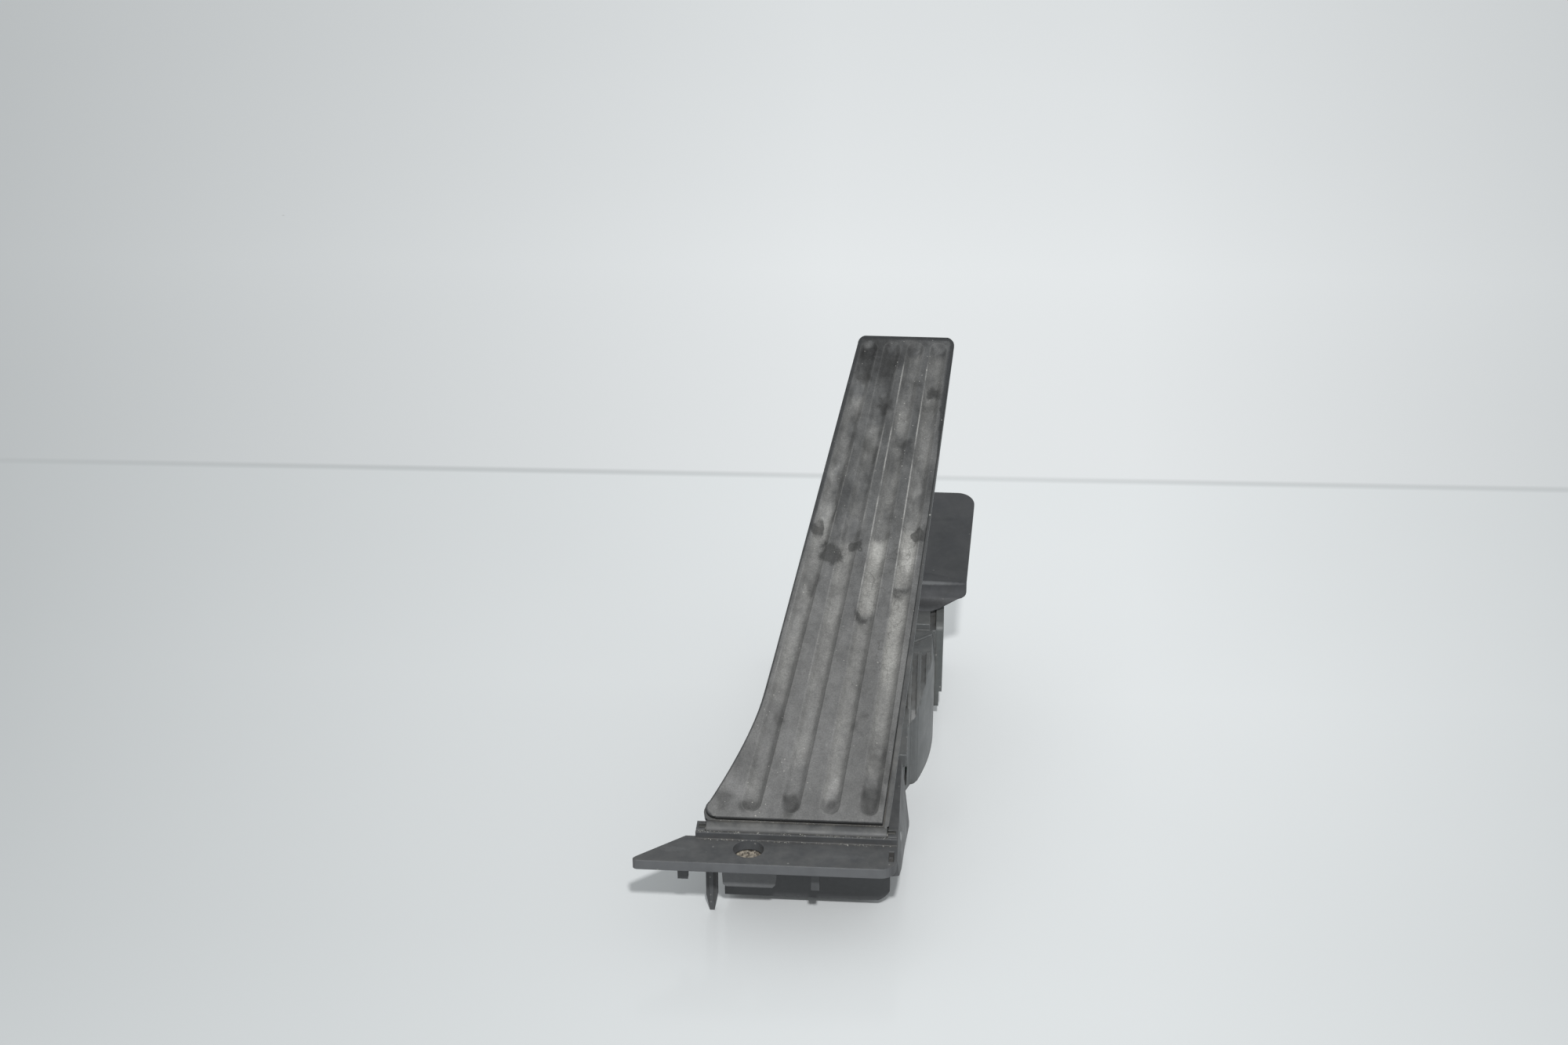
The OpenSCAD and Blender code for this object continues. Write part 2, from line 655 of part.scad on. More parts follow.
// The lower stop stands square to the floored pedal, just past the guide track
down_stop_r = 6;
down_stop_h = 6;
stop_tower_w = 14;
stop_tower_len = 22;
stop_a = track_a1 + track_foot + 1.4 + stop_pad_w / 2;
stop_y = hinge_y + stop_a * cos(floored_slope) + (free_gap + down_stop_h - rib_bottom) * sin(floored_slope);
base_len = stop_y + stop_tower_len / 2 + tail_len;
module floored_stop_frame() {
  pedal_frame(floored_slope) translate([lever_x, stop_a, rib_bottom - free_gap]) children();
}
module down_stop() {
  color("#262626")
  floored_stop_frame() mirror([0, 0, 1])
    difference() {
      cylinder(r = down_stop_r, h = down_stop_h);
      translate([0, 0, -1]) cylinder(r = 1.5, h = 4);
    }
}
module stop_tower() {
  difference() {
    intersection() {
      translate([lever_x - stop_tower_w / 2, stop_y - stop_tower_len / 2, ground_z + 1])
        cube([stop_tower_w, stop_tower_len, 90]);
      floored_stop_frame() translate([-40, -60, -down_stop_h - 120]) cube([80, 120, 120]);
    }
    translate([lever_x - stop_tower_w / 2 + 2.5, stop_y - stop_tower_len / 2 + 2.5, ground_z + wall])
      cube([stop_tower_w - 5, stop_tower_len - 5, 59]);
  }
}
module side_frame() {
  translate([0, side_y, side_z]) rotate([side_slope, 0, 0]) children();
}
module side_tower() {
  difference() {
    union() {
      intersection() {
        translate([base_right - wall, side_y + fold_u + 1, ground_z + 1])
          cube([wall, base_len - side_y - fold_u - 1, 100]);
        side_frame() translate([0, -30, -150]) cube([150, 130, 150]);
      }
      for (u = side_screw_u)
        side_frame() translate([side_screw_x, u, -9]) cylinder(r = side_boss_r, h = 9);
    }
    for (u = side_screw_u)
      side_frame() translate([side_screw_x, u, -8]) cylinder(r = 1.5, h = 20);
  }
}
module lugs() {
  for (x = [plate_left_foot - 2.6, plate_right_foot - 0.1])
    slab_x(x, x + 3.7)
      union() {
        translate([hinge_y, hinge_z]) circle(barrel_r);
        translate([hinge_y - barrel_r, -2]) square([2 * barrel_r, hinge_z + 2]);
      }
}
module front_fittings() {
  // Tabs, block with a half-round pocket, and the ribbed prong under the flange
  translate([-28.9, -1.5, -14.7]) cube([4.2, 3, 12]);
  translate([25.5, -1.8, -17.7]) cube([3.4, 3, 14]);
  difference() {
    slab_y(3.3, front_wall_y + 1)
      polygon([[-block_w / 2, -4], [block_w / 2, -4], [block_w / 2 - 1.6, -20.7], [-block_w / 2 + 2, -20.7]]);
    translate([0, 0, -9]) cylinder(r = screw_hole_r + 1.8, h = 20);
  }
  prong_y = 12.5;
  translate([-16.3 - prong_w / 2, prong_y - 1, 0])
    slab_y(0, 2)
      polygon([[0, -1], [prong_w, -1], [prong_w, ground_z + 8], [prong_w * 0.7, ground_z], [prong_w * 0.3, ground_z],
               [0, ground_z + 8]]);
  slab_x(-16.3 - 0.9, -16.3 + 0.9)
    polygon([[prong_y - 3, -1], [prong_y + 3, -1], [prong_y + 2, ground_z + 8], [prong_y + 0.6, ground_z],
             [prong_y - 0.6, ground_z], [prong_y - 3, ground_z + 8]]);
}
module base_bracket() {
  color("#3d3f41")
  difference() {
    union() {
      translate([0, 0, -flange_thick]) linear_extrude(flange_thick) flange_plan();
      translate([0, 0, -flange_thick]) linear_extrude(flange_thick) deck_plan();
      // Cross rib in front of the hinge
      translate([plate_left_foot - 2.6, screw_hole_r + 0.1, -1]) cube([plate_foot_w + 6.4, 1.4, rib_height + 1]);
      lugs();
      flank();
      base_walls();
      front_ribs();
      pedestal(pedestal_x, pedestal_x + wall, 10);
      pedestal(base_right - wall, base_right, 10);
      stop_bridge();
      stop_tower();
      side_tower();
      front_fittings();
    }
    translate([0, 0, -flange_thick - 1]) cylinder(r = screw_hole_r, h = flange_thick + 3);
    // Trough under the hinge barrel and bore of the hinge pin
    rod_x(barrel_r + 0.5, plate_left_foot + 1.1, plate_right_foot - 0.1, hinge_y, hinge_z);
    rod_x(hinge_pin_r, plate_left_foot - 1.6, plate_right_foot + 3, hinge_y, hinge_z);
    rod_x(bush_r, pedestal_x - 1, pedestal_x + wall + 1, shaft_y, shaft_z);
    rod_x(bush_r, base_right - wall - 1, base_right + 1, shaft_y, shaft_z);
    // Slot in the right front corner of the flange
    translate([flange_right - 3.4, -5, -3]) cube([2, 7, 5]);
  }
}
module hinge_pin() {
  color("#a5a5a3")
  rod_x(hinge_pin_r, plate_left_foot - 1.6, plate_right_foot + 3, hinge_y, hinge_z);
}

// Sensor housing: round front, straight rear box, drawn in (y, z)
module housing_profile(inset = 0) {
  polygon(concat(
    [[sensor_len - inset, ground_z + inset], [104 + inset, ground_z + inset]],
    arc([drum_y, drum_z], drum_r - inset, 180, 90, 16),
    [[sensor_len - inset - 12, sensor_top - inset], [sensor_len - inset, sensor_top - inset - 12]]
  ));
}
module housing_plan() {
  // A small round nose, then one long curve into the straight side
  side_r = 140;
  polygon(concat(
    [[base_right, rear_box_y + 6], [base_right, 104], [60, 104]],
    arc([62.8, 117.6], 3.4, -75, -15, 5),
    arc([sensor_right - side_r, 160], side_r, -17.6, 0, 10),
    [[sensor_right, rear_box_y + 6]]
  ));
}
module drum_ribs() {
  for (x = [57.5, 61.5, 65.5, 69.3])
    intersection() {
      slab_x(x, x + 1.6)
        difference() {
          polygon(concat([[drum_y, drum_z]], arc([drum_y, drum_z], drum_r + 1.4, 172, 96, 14)));
          circle_at([drum_y, drum_z], drum_r - 0.5);
        }
      translate([0, 0, ground_z]) linear_extrude(80) housing_front_plan();
    }
}
module circle_at(p, r) {
  translate(p) circle(r);
}
module housing_front_plan() {
  housing_plan();
  translate([base_right, 96]) square([6.5, 10]);
}
module sensor_housing() {
  color("#4a4c4e")
  difference() {
    union() {
      intersection() {
        slab_x(base_right, sensor_right) housing_profile();
        translate([0, 0, ground_z]) linear_extrude(80) housing_plan();
        slab_y(100, rear_box_y + 6)
          polygon([[base_right, ground_z], [sensor_right, ground_z], [sensor_right, -2], [sensor_right - 1.5, sensor_top],
                   [base_right, sensor_top]]);
      }
      intersection() {
        slab_x(base_right, sensor_right) housing_profile();
        translate([base_right, rear_box_y, ground_z]) cube([60, 80, 80]);
      }
      drum_ribs();
      // Tongue towards the deck, lip and raised cap on the top
      translate([56.5, deck_len + 0.4, -6.5]) cube([5.7, 42, 6]);
      translate([0, 0, sensor_top - 1]) linear_extrude(2.2)
        polygon([[60, 150.5], [71.5, 161.5], [71.5, 163.3], [60, 152.3]]);
      translate([59.5, rear_box_y, sensor_top - 1]) cube([11, 22, 4.2]);
      // Connector shroud
      translate([socket_x[0], sensor_len - 1, socket_z[0]])
        cube([socket_x[1] - socket_x[0], socket_len + 1, socket_z[1] - socket_z[0]]);
    }
    difference() {
      union() {
        slab_x(base_right + sensor_wall, 65) housing_profile(sensor_wall);
        slab_x(base_right + sensor_wall, sensor_right + 1) cover_opening(sensor_wall);
      }
      for (p = post_places) rod_x(post_r, base_right, board_x, p[0], p[1]);
      // Front wall keeps its thickness where the plan curves in
      translate([62, 100, ground_z]) cube([20, 17, 80]);
    }
    rod_x(bush_r, base_right - 1, base_right + sensor_wall + 1, shaft_y, shaft_z);
    // Rebate of the seal in the rim
    slab_x(sensor_right - 0.8, sensor_right + 1) cover_opening(1.5);
    // Connector socket and the slots of its terminals
    translate([socket_x[0] + 1.5, sensor_len + 1, socket_z[0] + 1.5])
      cube([socket_x[1] - socket_x[0] - 3, socket_len, socket_z[1] - socket_z[0] - 3]);
    terminal_blanks(0.1);
  }
}
module terminal_blanks(grow) {
  // Square terminals on both faces of the board
  for (x = [board_x - 1.2, board_x + board_thick], k = [0:pins_per_row - 1])
    translate([x - grow, sensor_len - 14, socket_z[0] + 5 + 4 * k - grow])
      cube([1.2 + 2 * grow, 14 + socket_len - 4, 1.2 + 2 * grow]);
}
module terminal_pins() {
  color("#c2a14a")
  terminal_blanks(0);
}
module sensor_board() {
  color("#2e5a3a")
  slab_x(board_x, board_x + board_thick)
    intersection() {
      housing_profile(sensor_wall + 0.3);
      translate([board_y0, socket_z[0] + 1]) square([sensor_len - board_y0, 36]);
    }
}
module sensor_chips() {
  color("#1d1d1f")
  for (p = [[shaft_y, shaft_z, 5], [158, -22, 7], [176, -12, 6]])
    translate([board_x + board_thick, p[0] - p[2] / 2, p[1] - p[2] / 2]) cube([1.2, p[2], p[2]]);
}
module cover_seal() {
  color("#202020")
  slab_x(sensor_right - 0.8, sensor_right)
    difference() {
      cover_opening(1.5);
      cover_opening(sensor_wall);
    }
}
cover_y = [rear_box_y + 0.5, sensor_len - 0.5];
cover_z = [ground_z + 8.4, sensor_top + 2.5];
cover_step_z = -20.7;
screw_sink = 2;
// The housing's side opening behind the cover
module cover_opening(inset) {
  rounded_box(rear_box_y + inset, cover_z[0] + inset - 1, sensor_len - inset, sensor_top - 10 - inset, 1.2);
}
module sensor_cover() {
  color("#3c3e40")
  difference() {
    slab_x(sensor_right, sensor_right + cover_thick) rounded_box(cover_y[0], cover_z[0], cover_y[1], cover_z[1], 4);
    // Thinner lower part
    translate([sensor_right + cover_thick * 0.62, cover_y[0] - 1, cover_z[0] - 1])
      cube([4, 80, cover_step_z - cover_z[0] + 1]);
    for (p = cover_screw_places()) {
      rod_x(1.6, sensor_right - 1, sensor_right + 5, p[0], p[1]);
      rod_x(3.3, sensor_right + cover_thick - screw_sink, sensor_right + cover_thick + 1, p[0], p[1]);
    }
  }
}
function cover_screw_places() =
  [for (y = [cover_y[0] + 5, cover_y[1] - 5]) [y, sensor_top - 4.5]];
module cover_screws() {
  head_x = sensor_right + cover_thick - screw_sink;
  color("#9a9a9a")
  for (p = cover_screw_places())
    difference() {
      union() {
        rod_x(3, head_x, head_x + 1.7, p[0], p[1]);
        rod_x(1.55, sensor_right, head_x + eps, p[0], p[1]);
      }
      rod_x(1, head_x + 0.7, head_x + 3, p[0], p[1]);
    }
}

// Side plate: sloping panel with a lower fold, drawn in (u, w) and trimmed in plan
fold_u = 9;
fold_r = 3;
head_depth = 1.7;
screw_head_r = 3.2;
module side_plate() {
  foot_dir = [-cos(side_fold), -sin(side_fold)];
  inner = arc([fold_u, -fold_r], fold_r, 90, 90 + side_fold, 4);
  outer = arc([fold_u, -fold_r], fold_r + side_thick, 90 + side_fold, 90, 4);
  foot_end_u = fold_u - side_foot * cos(side_fold);
  color("#34363a")
  difference() {
    intersection() {
      side_frame() slab_x(side_left, side_right_far + 1)
        polygon(concat([[side_len, 0]], inner, [inner[4] + (side_foot + 3) * foot_dir, outer[0] + (side_foot + 3) * foot_dir],
                       outer, [[side_len, side_thick]]));
      side_frame() translate([0, 0, -30]) linear_extrude(50)
        polygon(concat(
          [[side_left, foot_end_u], [71, foot_end_u]],
          arc([side_right_near - 5, fold_u], 5, -55, 0, 6),
          arc([side_right_far - side_corner_r - 0.3, side_len - side_corner_r], side_corner_r, 0, 90, 8),
          [[side_left, side_len]]
        ));
    }
    for (u = side_screw_u)
      side_frame() translate([side_screw_x, u, 0]) {
        translate([0, 0, -1]) cylinder(r = 1.7, h = 10);
        translate([0, 0, side_thick - head_depth]) cylinder(r1 = 1.7, r2 = screw_head_r + 0.2, h = head_depth + eps);
      }
  }
}
module side_plate_screws() {
  color("#a0a0a0")
  for (u = side_screw_u)
    side_frame() translate([side_screw_x, u, side_thick - head_depth])
      difference() {
        union() {
          cylinder(r1 = 1.5, r2 = screw_head_r, h = head_depth);
          translate([0, 0, -side_thick + head_depth - 7]) cylinder(r = 1.5, h = side_thick - head_depth + 7 + eps);
        }
        translate([0, 0, 0.9]) cylinder(r = 1.4, h = 3, $fn = 6);
      }
}

base_bracket();
hinge_pin();
side_plate();
side_plate_screws();
down_stop();
up_stop();
left_bush();
right_bush();
outer_spring();
inner_spring();
sensor_housing();
sensor_board();
sensor_chips();
terminal_pins();
cover_seal();
sensor_cover();
cover_screws();
drive_lever();
lever_shaft();
retaining_ring();
cross_pin();
glide_heads();
rotor();
rotor_magnet();
pedal_plate();
tread();
guide_track();
guide_screws();
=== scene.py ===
"""Looks of the floor-hinged accelerator pedal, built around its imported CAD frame."""
import math
import random

import bpy
import bmesh
from mathutils import Euler, Matrix, Vector, noise


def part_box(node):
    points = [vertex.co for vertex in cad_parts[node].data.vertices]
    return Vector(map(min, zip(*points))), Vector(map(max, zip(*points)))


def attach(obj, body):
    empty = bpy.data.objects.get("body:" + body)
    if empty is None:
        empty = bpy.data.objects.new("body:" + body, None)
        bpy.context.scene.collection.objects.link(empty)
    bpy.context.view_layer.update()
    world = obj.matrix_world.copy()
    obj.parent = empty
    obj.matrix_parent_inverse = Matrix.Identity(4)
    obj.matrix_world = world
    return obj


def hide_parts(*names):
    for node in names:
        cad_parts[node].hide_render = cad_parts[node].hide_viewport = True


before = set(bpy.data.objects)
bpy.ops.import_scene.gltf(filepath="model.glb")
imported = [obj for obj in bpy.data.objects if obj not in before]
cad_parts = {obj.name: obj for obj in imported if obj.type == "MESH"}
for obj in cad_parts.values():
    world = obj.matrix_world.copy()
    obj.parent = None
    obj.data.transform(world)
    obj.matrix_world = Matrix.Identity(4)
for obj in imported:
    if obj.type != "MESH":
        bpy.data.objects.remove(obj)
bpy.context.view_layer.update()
MM = 0.001

# Without a seed, the noise vectors that push the tread's spots about start from the clock
NOISE_SEED = 368
noise.seed_set(NOISE_SEED)

# Camera, measured in the photograph: 54 mm lens, 26 degrees down, turned 4 degrees to the left
CAMERA_POS = Vector((69.9, -793.6, 535.3)) * MM
CAMERA_PITCH = math.radians(26.0)
CAMERA_TURN = math.radians(4.0)
FOCAL_PX = 3000.0
IMAGE_W = 2000.0
SENSOR_MM = 36.0

# Light: a flash above and right of the lens, as the photograph's shadows tell, a soft room,
# and a glowing backdrop
FLASH_POS = Vector((0.115, -0.80, 0.82))
FLASH_AIM = Vector((0.03, 0.10, 0.02))
FLASH_SIZE = 0.06
FLASH_POWER = 9.6
ROOM_STRENGTH = 0.50
BACKDROP_GLOW = 0.26

FLOOR_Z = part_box("sensor_housing")[0][2]
FLOOR_JOINT_Y = 0.4435
FLOOR_JOINT_SLOPE = 0.025
FLOOR_HALF = 4.0

# The pedal's own frame, in millimetres: x across, a along the plate from the hinge, n out of it
HINGE = Vector((0, 11.5, 1.3))
REST_SLOPE = math.radians(30)
FOOT_A = 1.8
PLATE_TOP = 2.3
TREAD_TOP = 4.6
TREAD_RIM_R = 0.9
TREAD_FOOT_V = 1.5
TREAD_HEAD_V = 254.0
GROOVE_HALF_FOOT = 4.15
GROOVE_HALF_HEAD = 3.95
GROOVE_DEPTH = 1.6
GROOVE_WALL = 2.4
WAVE_DEPTH = 0.06


def smooth(low, high, value):
    t = min(max((value - low) / (high - low), 0.0), 1.0)
    return t * t * (3 - 2 * t)


def pad_point(x, a, n):
    """A point of the pedal's own frame, in metres in the shared frame."""
    s, c = math.sin(REST_SLOPE), math.cos(REST_SLOPE)
    return Vector((x, HINGE.y + a * c - n * s, HINGE.z + a * s + n * c)) * MM


# ---------------------------------------------------------------- node trees

class Tree:
    """Short calls that build one material's node tree."""

    def __init__(self, name):
        self.material = bpy.data.materials.new(name)
        self.material.use_nodes = True
        self.tree = self.material.node_tree
        self.tree.nodes.clear()
        output = self.tree.nodes.new("ShaderNodeOutputMaterial")
        self.shader = self.tree.nodes.new("ShaderNodeBsdfPrincipled")
        self.tree.links.new(self.shader.outputs[0], output.inputs[0])
        self.coords = self.tree.nodes.new("ShaderNodeTexCoord").outputs["Object"]

    def node(self, kind, inputs, **settings):
        made = self.tree.nodes.new(kind)
        for key, value in settings.items():
            setattr(made, key, value)
        for key, value in inputs.items():
            if isinstance(value, bpy.types.NodeSocket):
                self.tree.links.new(value, made.inputs[key])
            else:
                made.inputs[key].default_value = value
        return made

    def put(self, socket, value):
        if isinstance(value, bpy.types.NodeSocket):
            self.tree.links.new(value, self.shader.inputs[socket])
        else:
            self.shader.inputs[socket].default_value = value

    def stretched(self, stretch):
        return self.node("ShaderNodeMapping", {"Vector": self.coords, "Scale": stretch}).outputs[0]

    def noise(self, scale, detail=3.0, rough=0.55, stretch=None, distort=0.0):
        where = self.stretched(stretch) if stretch else self.coords
        return self.node("ShaderNodeTexNoise", {
            "Vector": where, "Scale": scale, "Detail": detail, "Roughness": rough,
            "Distortion": distort}).outputs["Fac"]

    def ramp(self, value, low, high, out_low=0.0, out_high=1.0):
        return self.node("ShaderNodeMapRange", {
            "Value": value, "From Min": low, "From Max": high,
            "To Min": out_low, "To Max": out_high}).outputs[0]

    def math(self, operation, a, b=0.0):
        return self.node("ShaderNodeMath", {0: a, 1: b}, operation=operation).outputs[0]

    def mix(self, factor, a, b, blend="MIX"):
        def colour(value):
            return value if isinstance(value, bpy.types.NodeSocket) else (*value, 1)
        return self.node("ShaderNodeMix", {0: factor, 6: colour(a), 7: colour(b)},
                         data_type="RGBA", blend_type=blend).outputs[2]

    def over(self, base, colour, mask, amount):
        """The base with a colour over it where the mask is, by the given amount."""
        return self.mix(self.math("MULTIPLY", mask, amount), base, colour)

    def shaded(self, base, shade):
        """The base made darker or lighter by a grey factor."""
        grey = self.node("ShaderNodeCombineColor", {0: shade, 1: shade, 2: shade}).outputs[0]
        return self.mix(1.0, base, grey, "MULTIPLY")

    def attribute(self, name):
        return self.node("ShaderNodeAttribute", {}, attribute_name=name).outputs["Fac"]

    def specks(self, scale, share, size):
        """1 on small round specks, on the given share of the cells."""
        cells = self.node("ShaderNodeTexVoronoi", {"Vector": self.coords, "Scale": scale})
        number = self.node("ShaderNodeSeparateColor", {0: cells.outputs["Color"]}).outputs[0]
        chosen = self.ramp(number, 1 - share, 1 - share + 0.001)
        return self.math("MULTIPLY", chosen, self.ramp(cells.outputs["Distance"], size, size * 0.6))

    def vector_math(self, operation, a, b, output):
        return self.node("ShaderNodeVectorMath", {0: a, 1: b}, operation=operation).outputs[output]

    def facing(self, axis, low, high):
        """From 0 to 1 as the surface turns towards an axis."""
        normal = self.node("ShaderNodeNewGeometry", {}).outputs["Normal"]
        return self.ramp(self.vector_math("DOT_PRODUCT", normal, axis, "Value"), low, high)

    def rounded(self, radius):
        return self.node("ShaderNodeBevel", {"Radius": radius}, samples=6).outputs[0]

    def edges(self, rounded):
        """From 0 to 1 towards a hard edge."""
        normal = self.node("ShaderNodeNewGeometry", {}).outputs["True Normal"]
        return self.ramp(self.vector_math("DOT_PRODUCT", rounded, normal, "Value"), 0.985, 0.86)

    def cavities(self, distance):
        """From 0 to 1 into corners and narrow gaps."""
        ao = self.node("ShaderNodeAmbientOcclusion", {"Distance": distance}, samples=8)
        return self.ramp(ao.outputs["AO"], 0.75, 0.3)

    def spot(self, centre_mm, radii_mm, ragged):
        """1 inside a ragged spot around a place."""
        centre = [c * MM for c in centre_mm]
        per_radius = [1 / (r * MM) for r in radii_mm]
        offset = self.vector_math("SUBTRACT", self.coords, centre, "Vector")
        scaled = self.vector_math("MULTIPLY", offset, per_radius, "Vector")
        away = self.node("ShaderNodeVectorMath", {0: scaled}, operation="LENGTH").outputs["Value"]
        ragged_edge = self.math("MULTIPLY_ADD", self.noise(SPOT_EDGE_SCALE, 4), ragged * 2)
        return self.ramp(self.math("ADD", away, ragged_edge), 1 + ragged, 0.8 + ragged)

    def bump(self, height, distance, normal=None, strength=1.0):
        inputs = {"Height": height, "Distance": distance, "Strength": strength}
        if normal is not None:
            inputs["Normal"] = normal
        return self.node("ShaderNodeBump", inputs).outputs[0]


DUST = (0.30, 0.292, 0.27)
BROWN_DIRT = (0.17, 0.145, 0.11)
PALE_SPECK = (0.5, 0.49, 0.46)
SPOT_EDGE_SCALE = 700
GRAIN_HEIGHT = 0.00005
SINK_HEIGHT = 0.00012
FLANGE_FRONT_Y = (-0.0085, -0.0095)


def moulded_plastic(name, colour, rough, edge_radius=0.0006, dust=0.25, dirt_and_shade=0.3, wear=0.5,
                    spots=(), flange_front=0.0, dust_by_y=None, dirt_and_shade_colour=BROWN_DIRT):
    """Moulded plastic: grain, uneven tone, edges lightened by wear and painted highlights, dust on
    top, dirt and painted shade in corners, and spots.

    flange_front is how much the flange's front face is made lighter, by rubbed wear and by painted
    light where it faces the flash, and dust_by_y holds the two places between which dust begins.
    """
    t = Tree(name)
    rounded = t.rounded(edge_radius)
    tone = t.ramp(t.noise(45, 4), 0.3, 0.7, 0.86, 1.14)
    fine = t.ramp(t.noise(420, 5), 0.3, 0.7, 0.93, 1.07)
    base = t.shaded(colour, t.math("MULTIPLY", tone, fine))
    place = t.node("ShaderNodeSeparateXYZ", {0: t.coords}).outputs
    if flange_front:
        # Painted light with rubbed wear: the flange's front face, turned to the flash, made lighter
        front = t.ramp(place[1], *FLANGE_FRONT_Y)
        front_wear_and_light = t.math("MULTIPLY", t.facing((0, -1, 0), 0.6, 0.95), front)
        front_wear_and_light = t.math("MULTIPLY", front_wear_and_light, t.ramp(t.noise(120, 5), 0.2, 0.6, 0.55, 1))
        base = t.over(base, [c * 2.4 for c in colour], front_wear_and_light, flange_front)
    # Edges made lighter: wear, with painted highlights where the edges catch the light
    worn_and_lit_edges = t.math("MULTIPLY", t.edges(rounded), t.ramp(t.noise(260, 4), 0.35, 0.65, 0.25, 1))
    base = t.over(base, [min(c * 2.2, 0.6) for c in colour], worn_and_lit_edges, wear)
    patches = t.ramp(t.noise(110, 6, 0.65), 0.38, 0.75, 0.1, 1)
    dusty = t.math("MULTIPLY", t.facing((0, 0, 1), 0.2, 0.95), patches)
    if dust_by_y:
        dusty = t.math("MULTIPLY", dusty, t.ramp(place[1], *dust_by_y))
    base = t.over(base, DUST, dusty, dust)
    # Corners and narrow gaps take the corner colour: real dirt, and where that colour is dark,
    # painted shade
    corner = t.math("MULTIPLY", t.cavities(0.004), t.ramp(t.noise(300, 5), 0.35, 0.65, 0.2, 1))
    base = t.over(base, dirt_and_shade_colour, corner, dirt_and_shade)
    base = t.over(base, PALE_SPECK, t.specks(420, 0.05, 0.22), dust * 1.5)
    for centre, radii, spot_colour, strength, ragged in spots:
        base = t.over(base, spot_colour, t.spot(centre, radii, ragged), strength)
    t.put("Base Color", base)
    t.put("Roughness", t.ramp(t.noise(90, 4), 0.3, 0.7, rough - 0.07, rough + 0.09))
    t.put("Specular IOR Level", 0.42)
    sinks = t.bump(t.noise(60, 2), SINK_HEIGHT, rounded, 0.5)
    t.put("Normal", t.bump(t.noise(3200, 2), GRAIN_HEIGHT, sinks, 0.55))
    return t.material


def metal(name, colour, rough, stretch, wear=0.15):
    """Drawn or turned steel, with fine lines along the tool's path and a few dull spots."""
    t = Tree(name)
    lines = t.noise(1500, 3, stretch=stretch)
    dull = t.ramp(t.noise(240, 4), 0.5, 0.7)
    base = t.mix(t.ramp(lines, 0.3, 0.7), [c * 0.82 for c in colour], colour)
    base = t.over(base, [c * 0.45 for c in colour], dull, wear)
    t.put("Base Color", base)
    t.put("Metallic", 1.0)
    line_rough = t.ramp(lines, 0.2, 0.8, rough - 0.06, rough + 0.08)
    t.put("Roughness", t.math("ADD", line_rough, t.math("MULTIPLY", dull, 0.15)))
    t.put("Normal", t.bump(lines, 0.00002, t.rounded(0.0002), 0.4))
    return t.material


def soft_rubber(name, colour):
    """Dull black rubber with a few dust specks."""
    t = Tree(name)
    dark, light = [c * 0.8 for c in colour], [c * 1.3 for c in colour]
    base = t.mix(t.ramp(t.noise(150, 4), 0.3, 0.7), dark, light)
    base = t.over(base, DUST, t.specks(700, 0.06, 0.25), 0.5)
    t.put("Base Color", base)
    t.put("Roughness", t.ramp(t.noise(400, 3), 0.3, 0.7, 0.72, 0.88))
    t.put("Specular IOR Level", 0.3)
    t.put("Normal", t.bump(t.noise(2600, 2), 0.00004, t.rounded(0.0005), 0.6))
    return t.material


def circuit_board():
    """Green lacquer over copper tracks."""
    t = Tree("board")
    turned = t.node("ShaderNodeMapping", {"Vector": t.coords, "Rotation": (0, math.radians(90), 0)})
    white, black = (1, 1, 1, 1), (0, 0, 0, 1)
    tracks = t.node("ShaderNodeTexBrick", {
        "Vector": turned.outputs[0], "Scale": 260.0, "Mortar Size": 0.035,
        "Color1": white, "Color2": white, "Mortar": black}).outputs["Color"]
    base = t.mix(tracks, (0.02, 0.16, 0.075), (0.012, 0.09, 0.045))
    base = t.over(base, (0.55, 0.5, 0.4), t.specks(900, 0.25, 0.3), 0.8)
    t.put("Base Color", base)
    t.put("Roughness", t.ramp(t.noise(500, 2), 0.3, 0.7, 0.25, 0.38))
    t.put("Normal", t.bump(tracks, 0.00004))
    return t.material


CRACK_WARP = 0.012


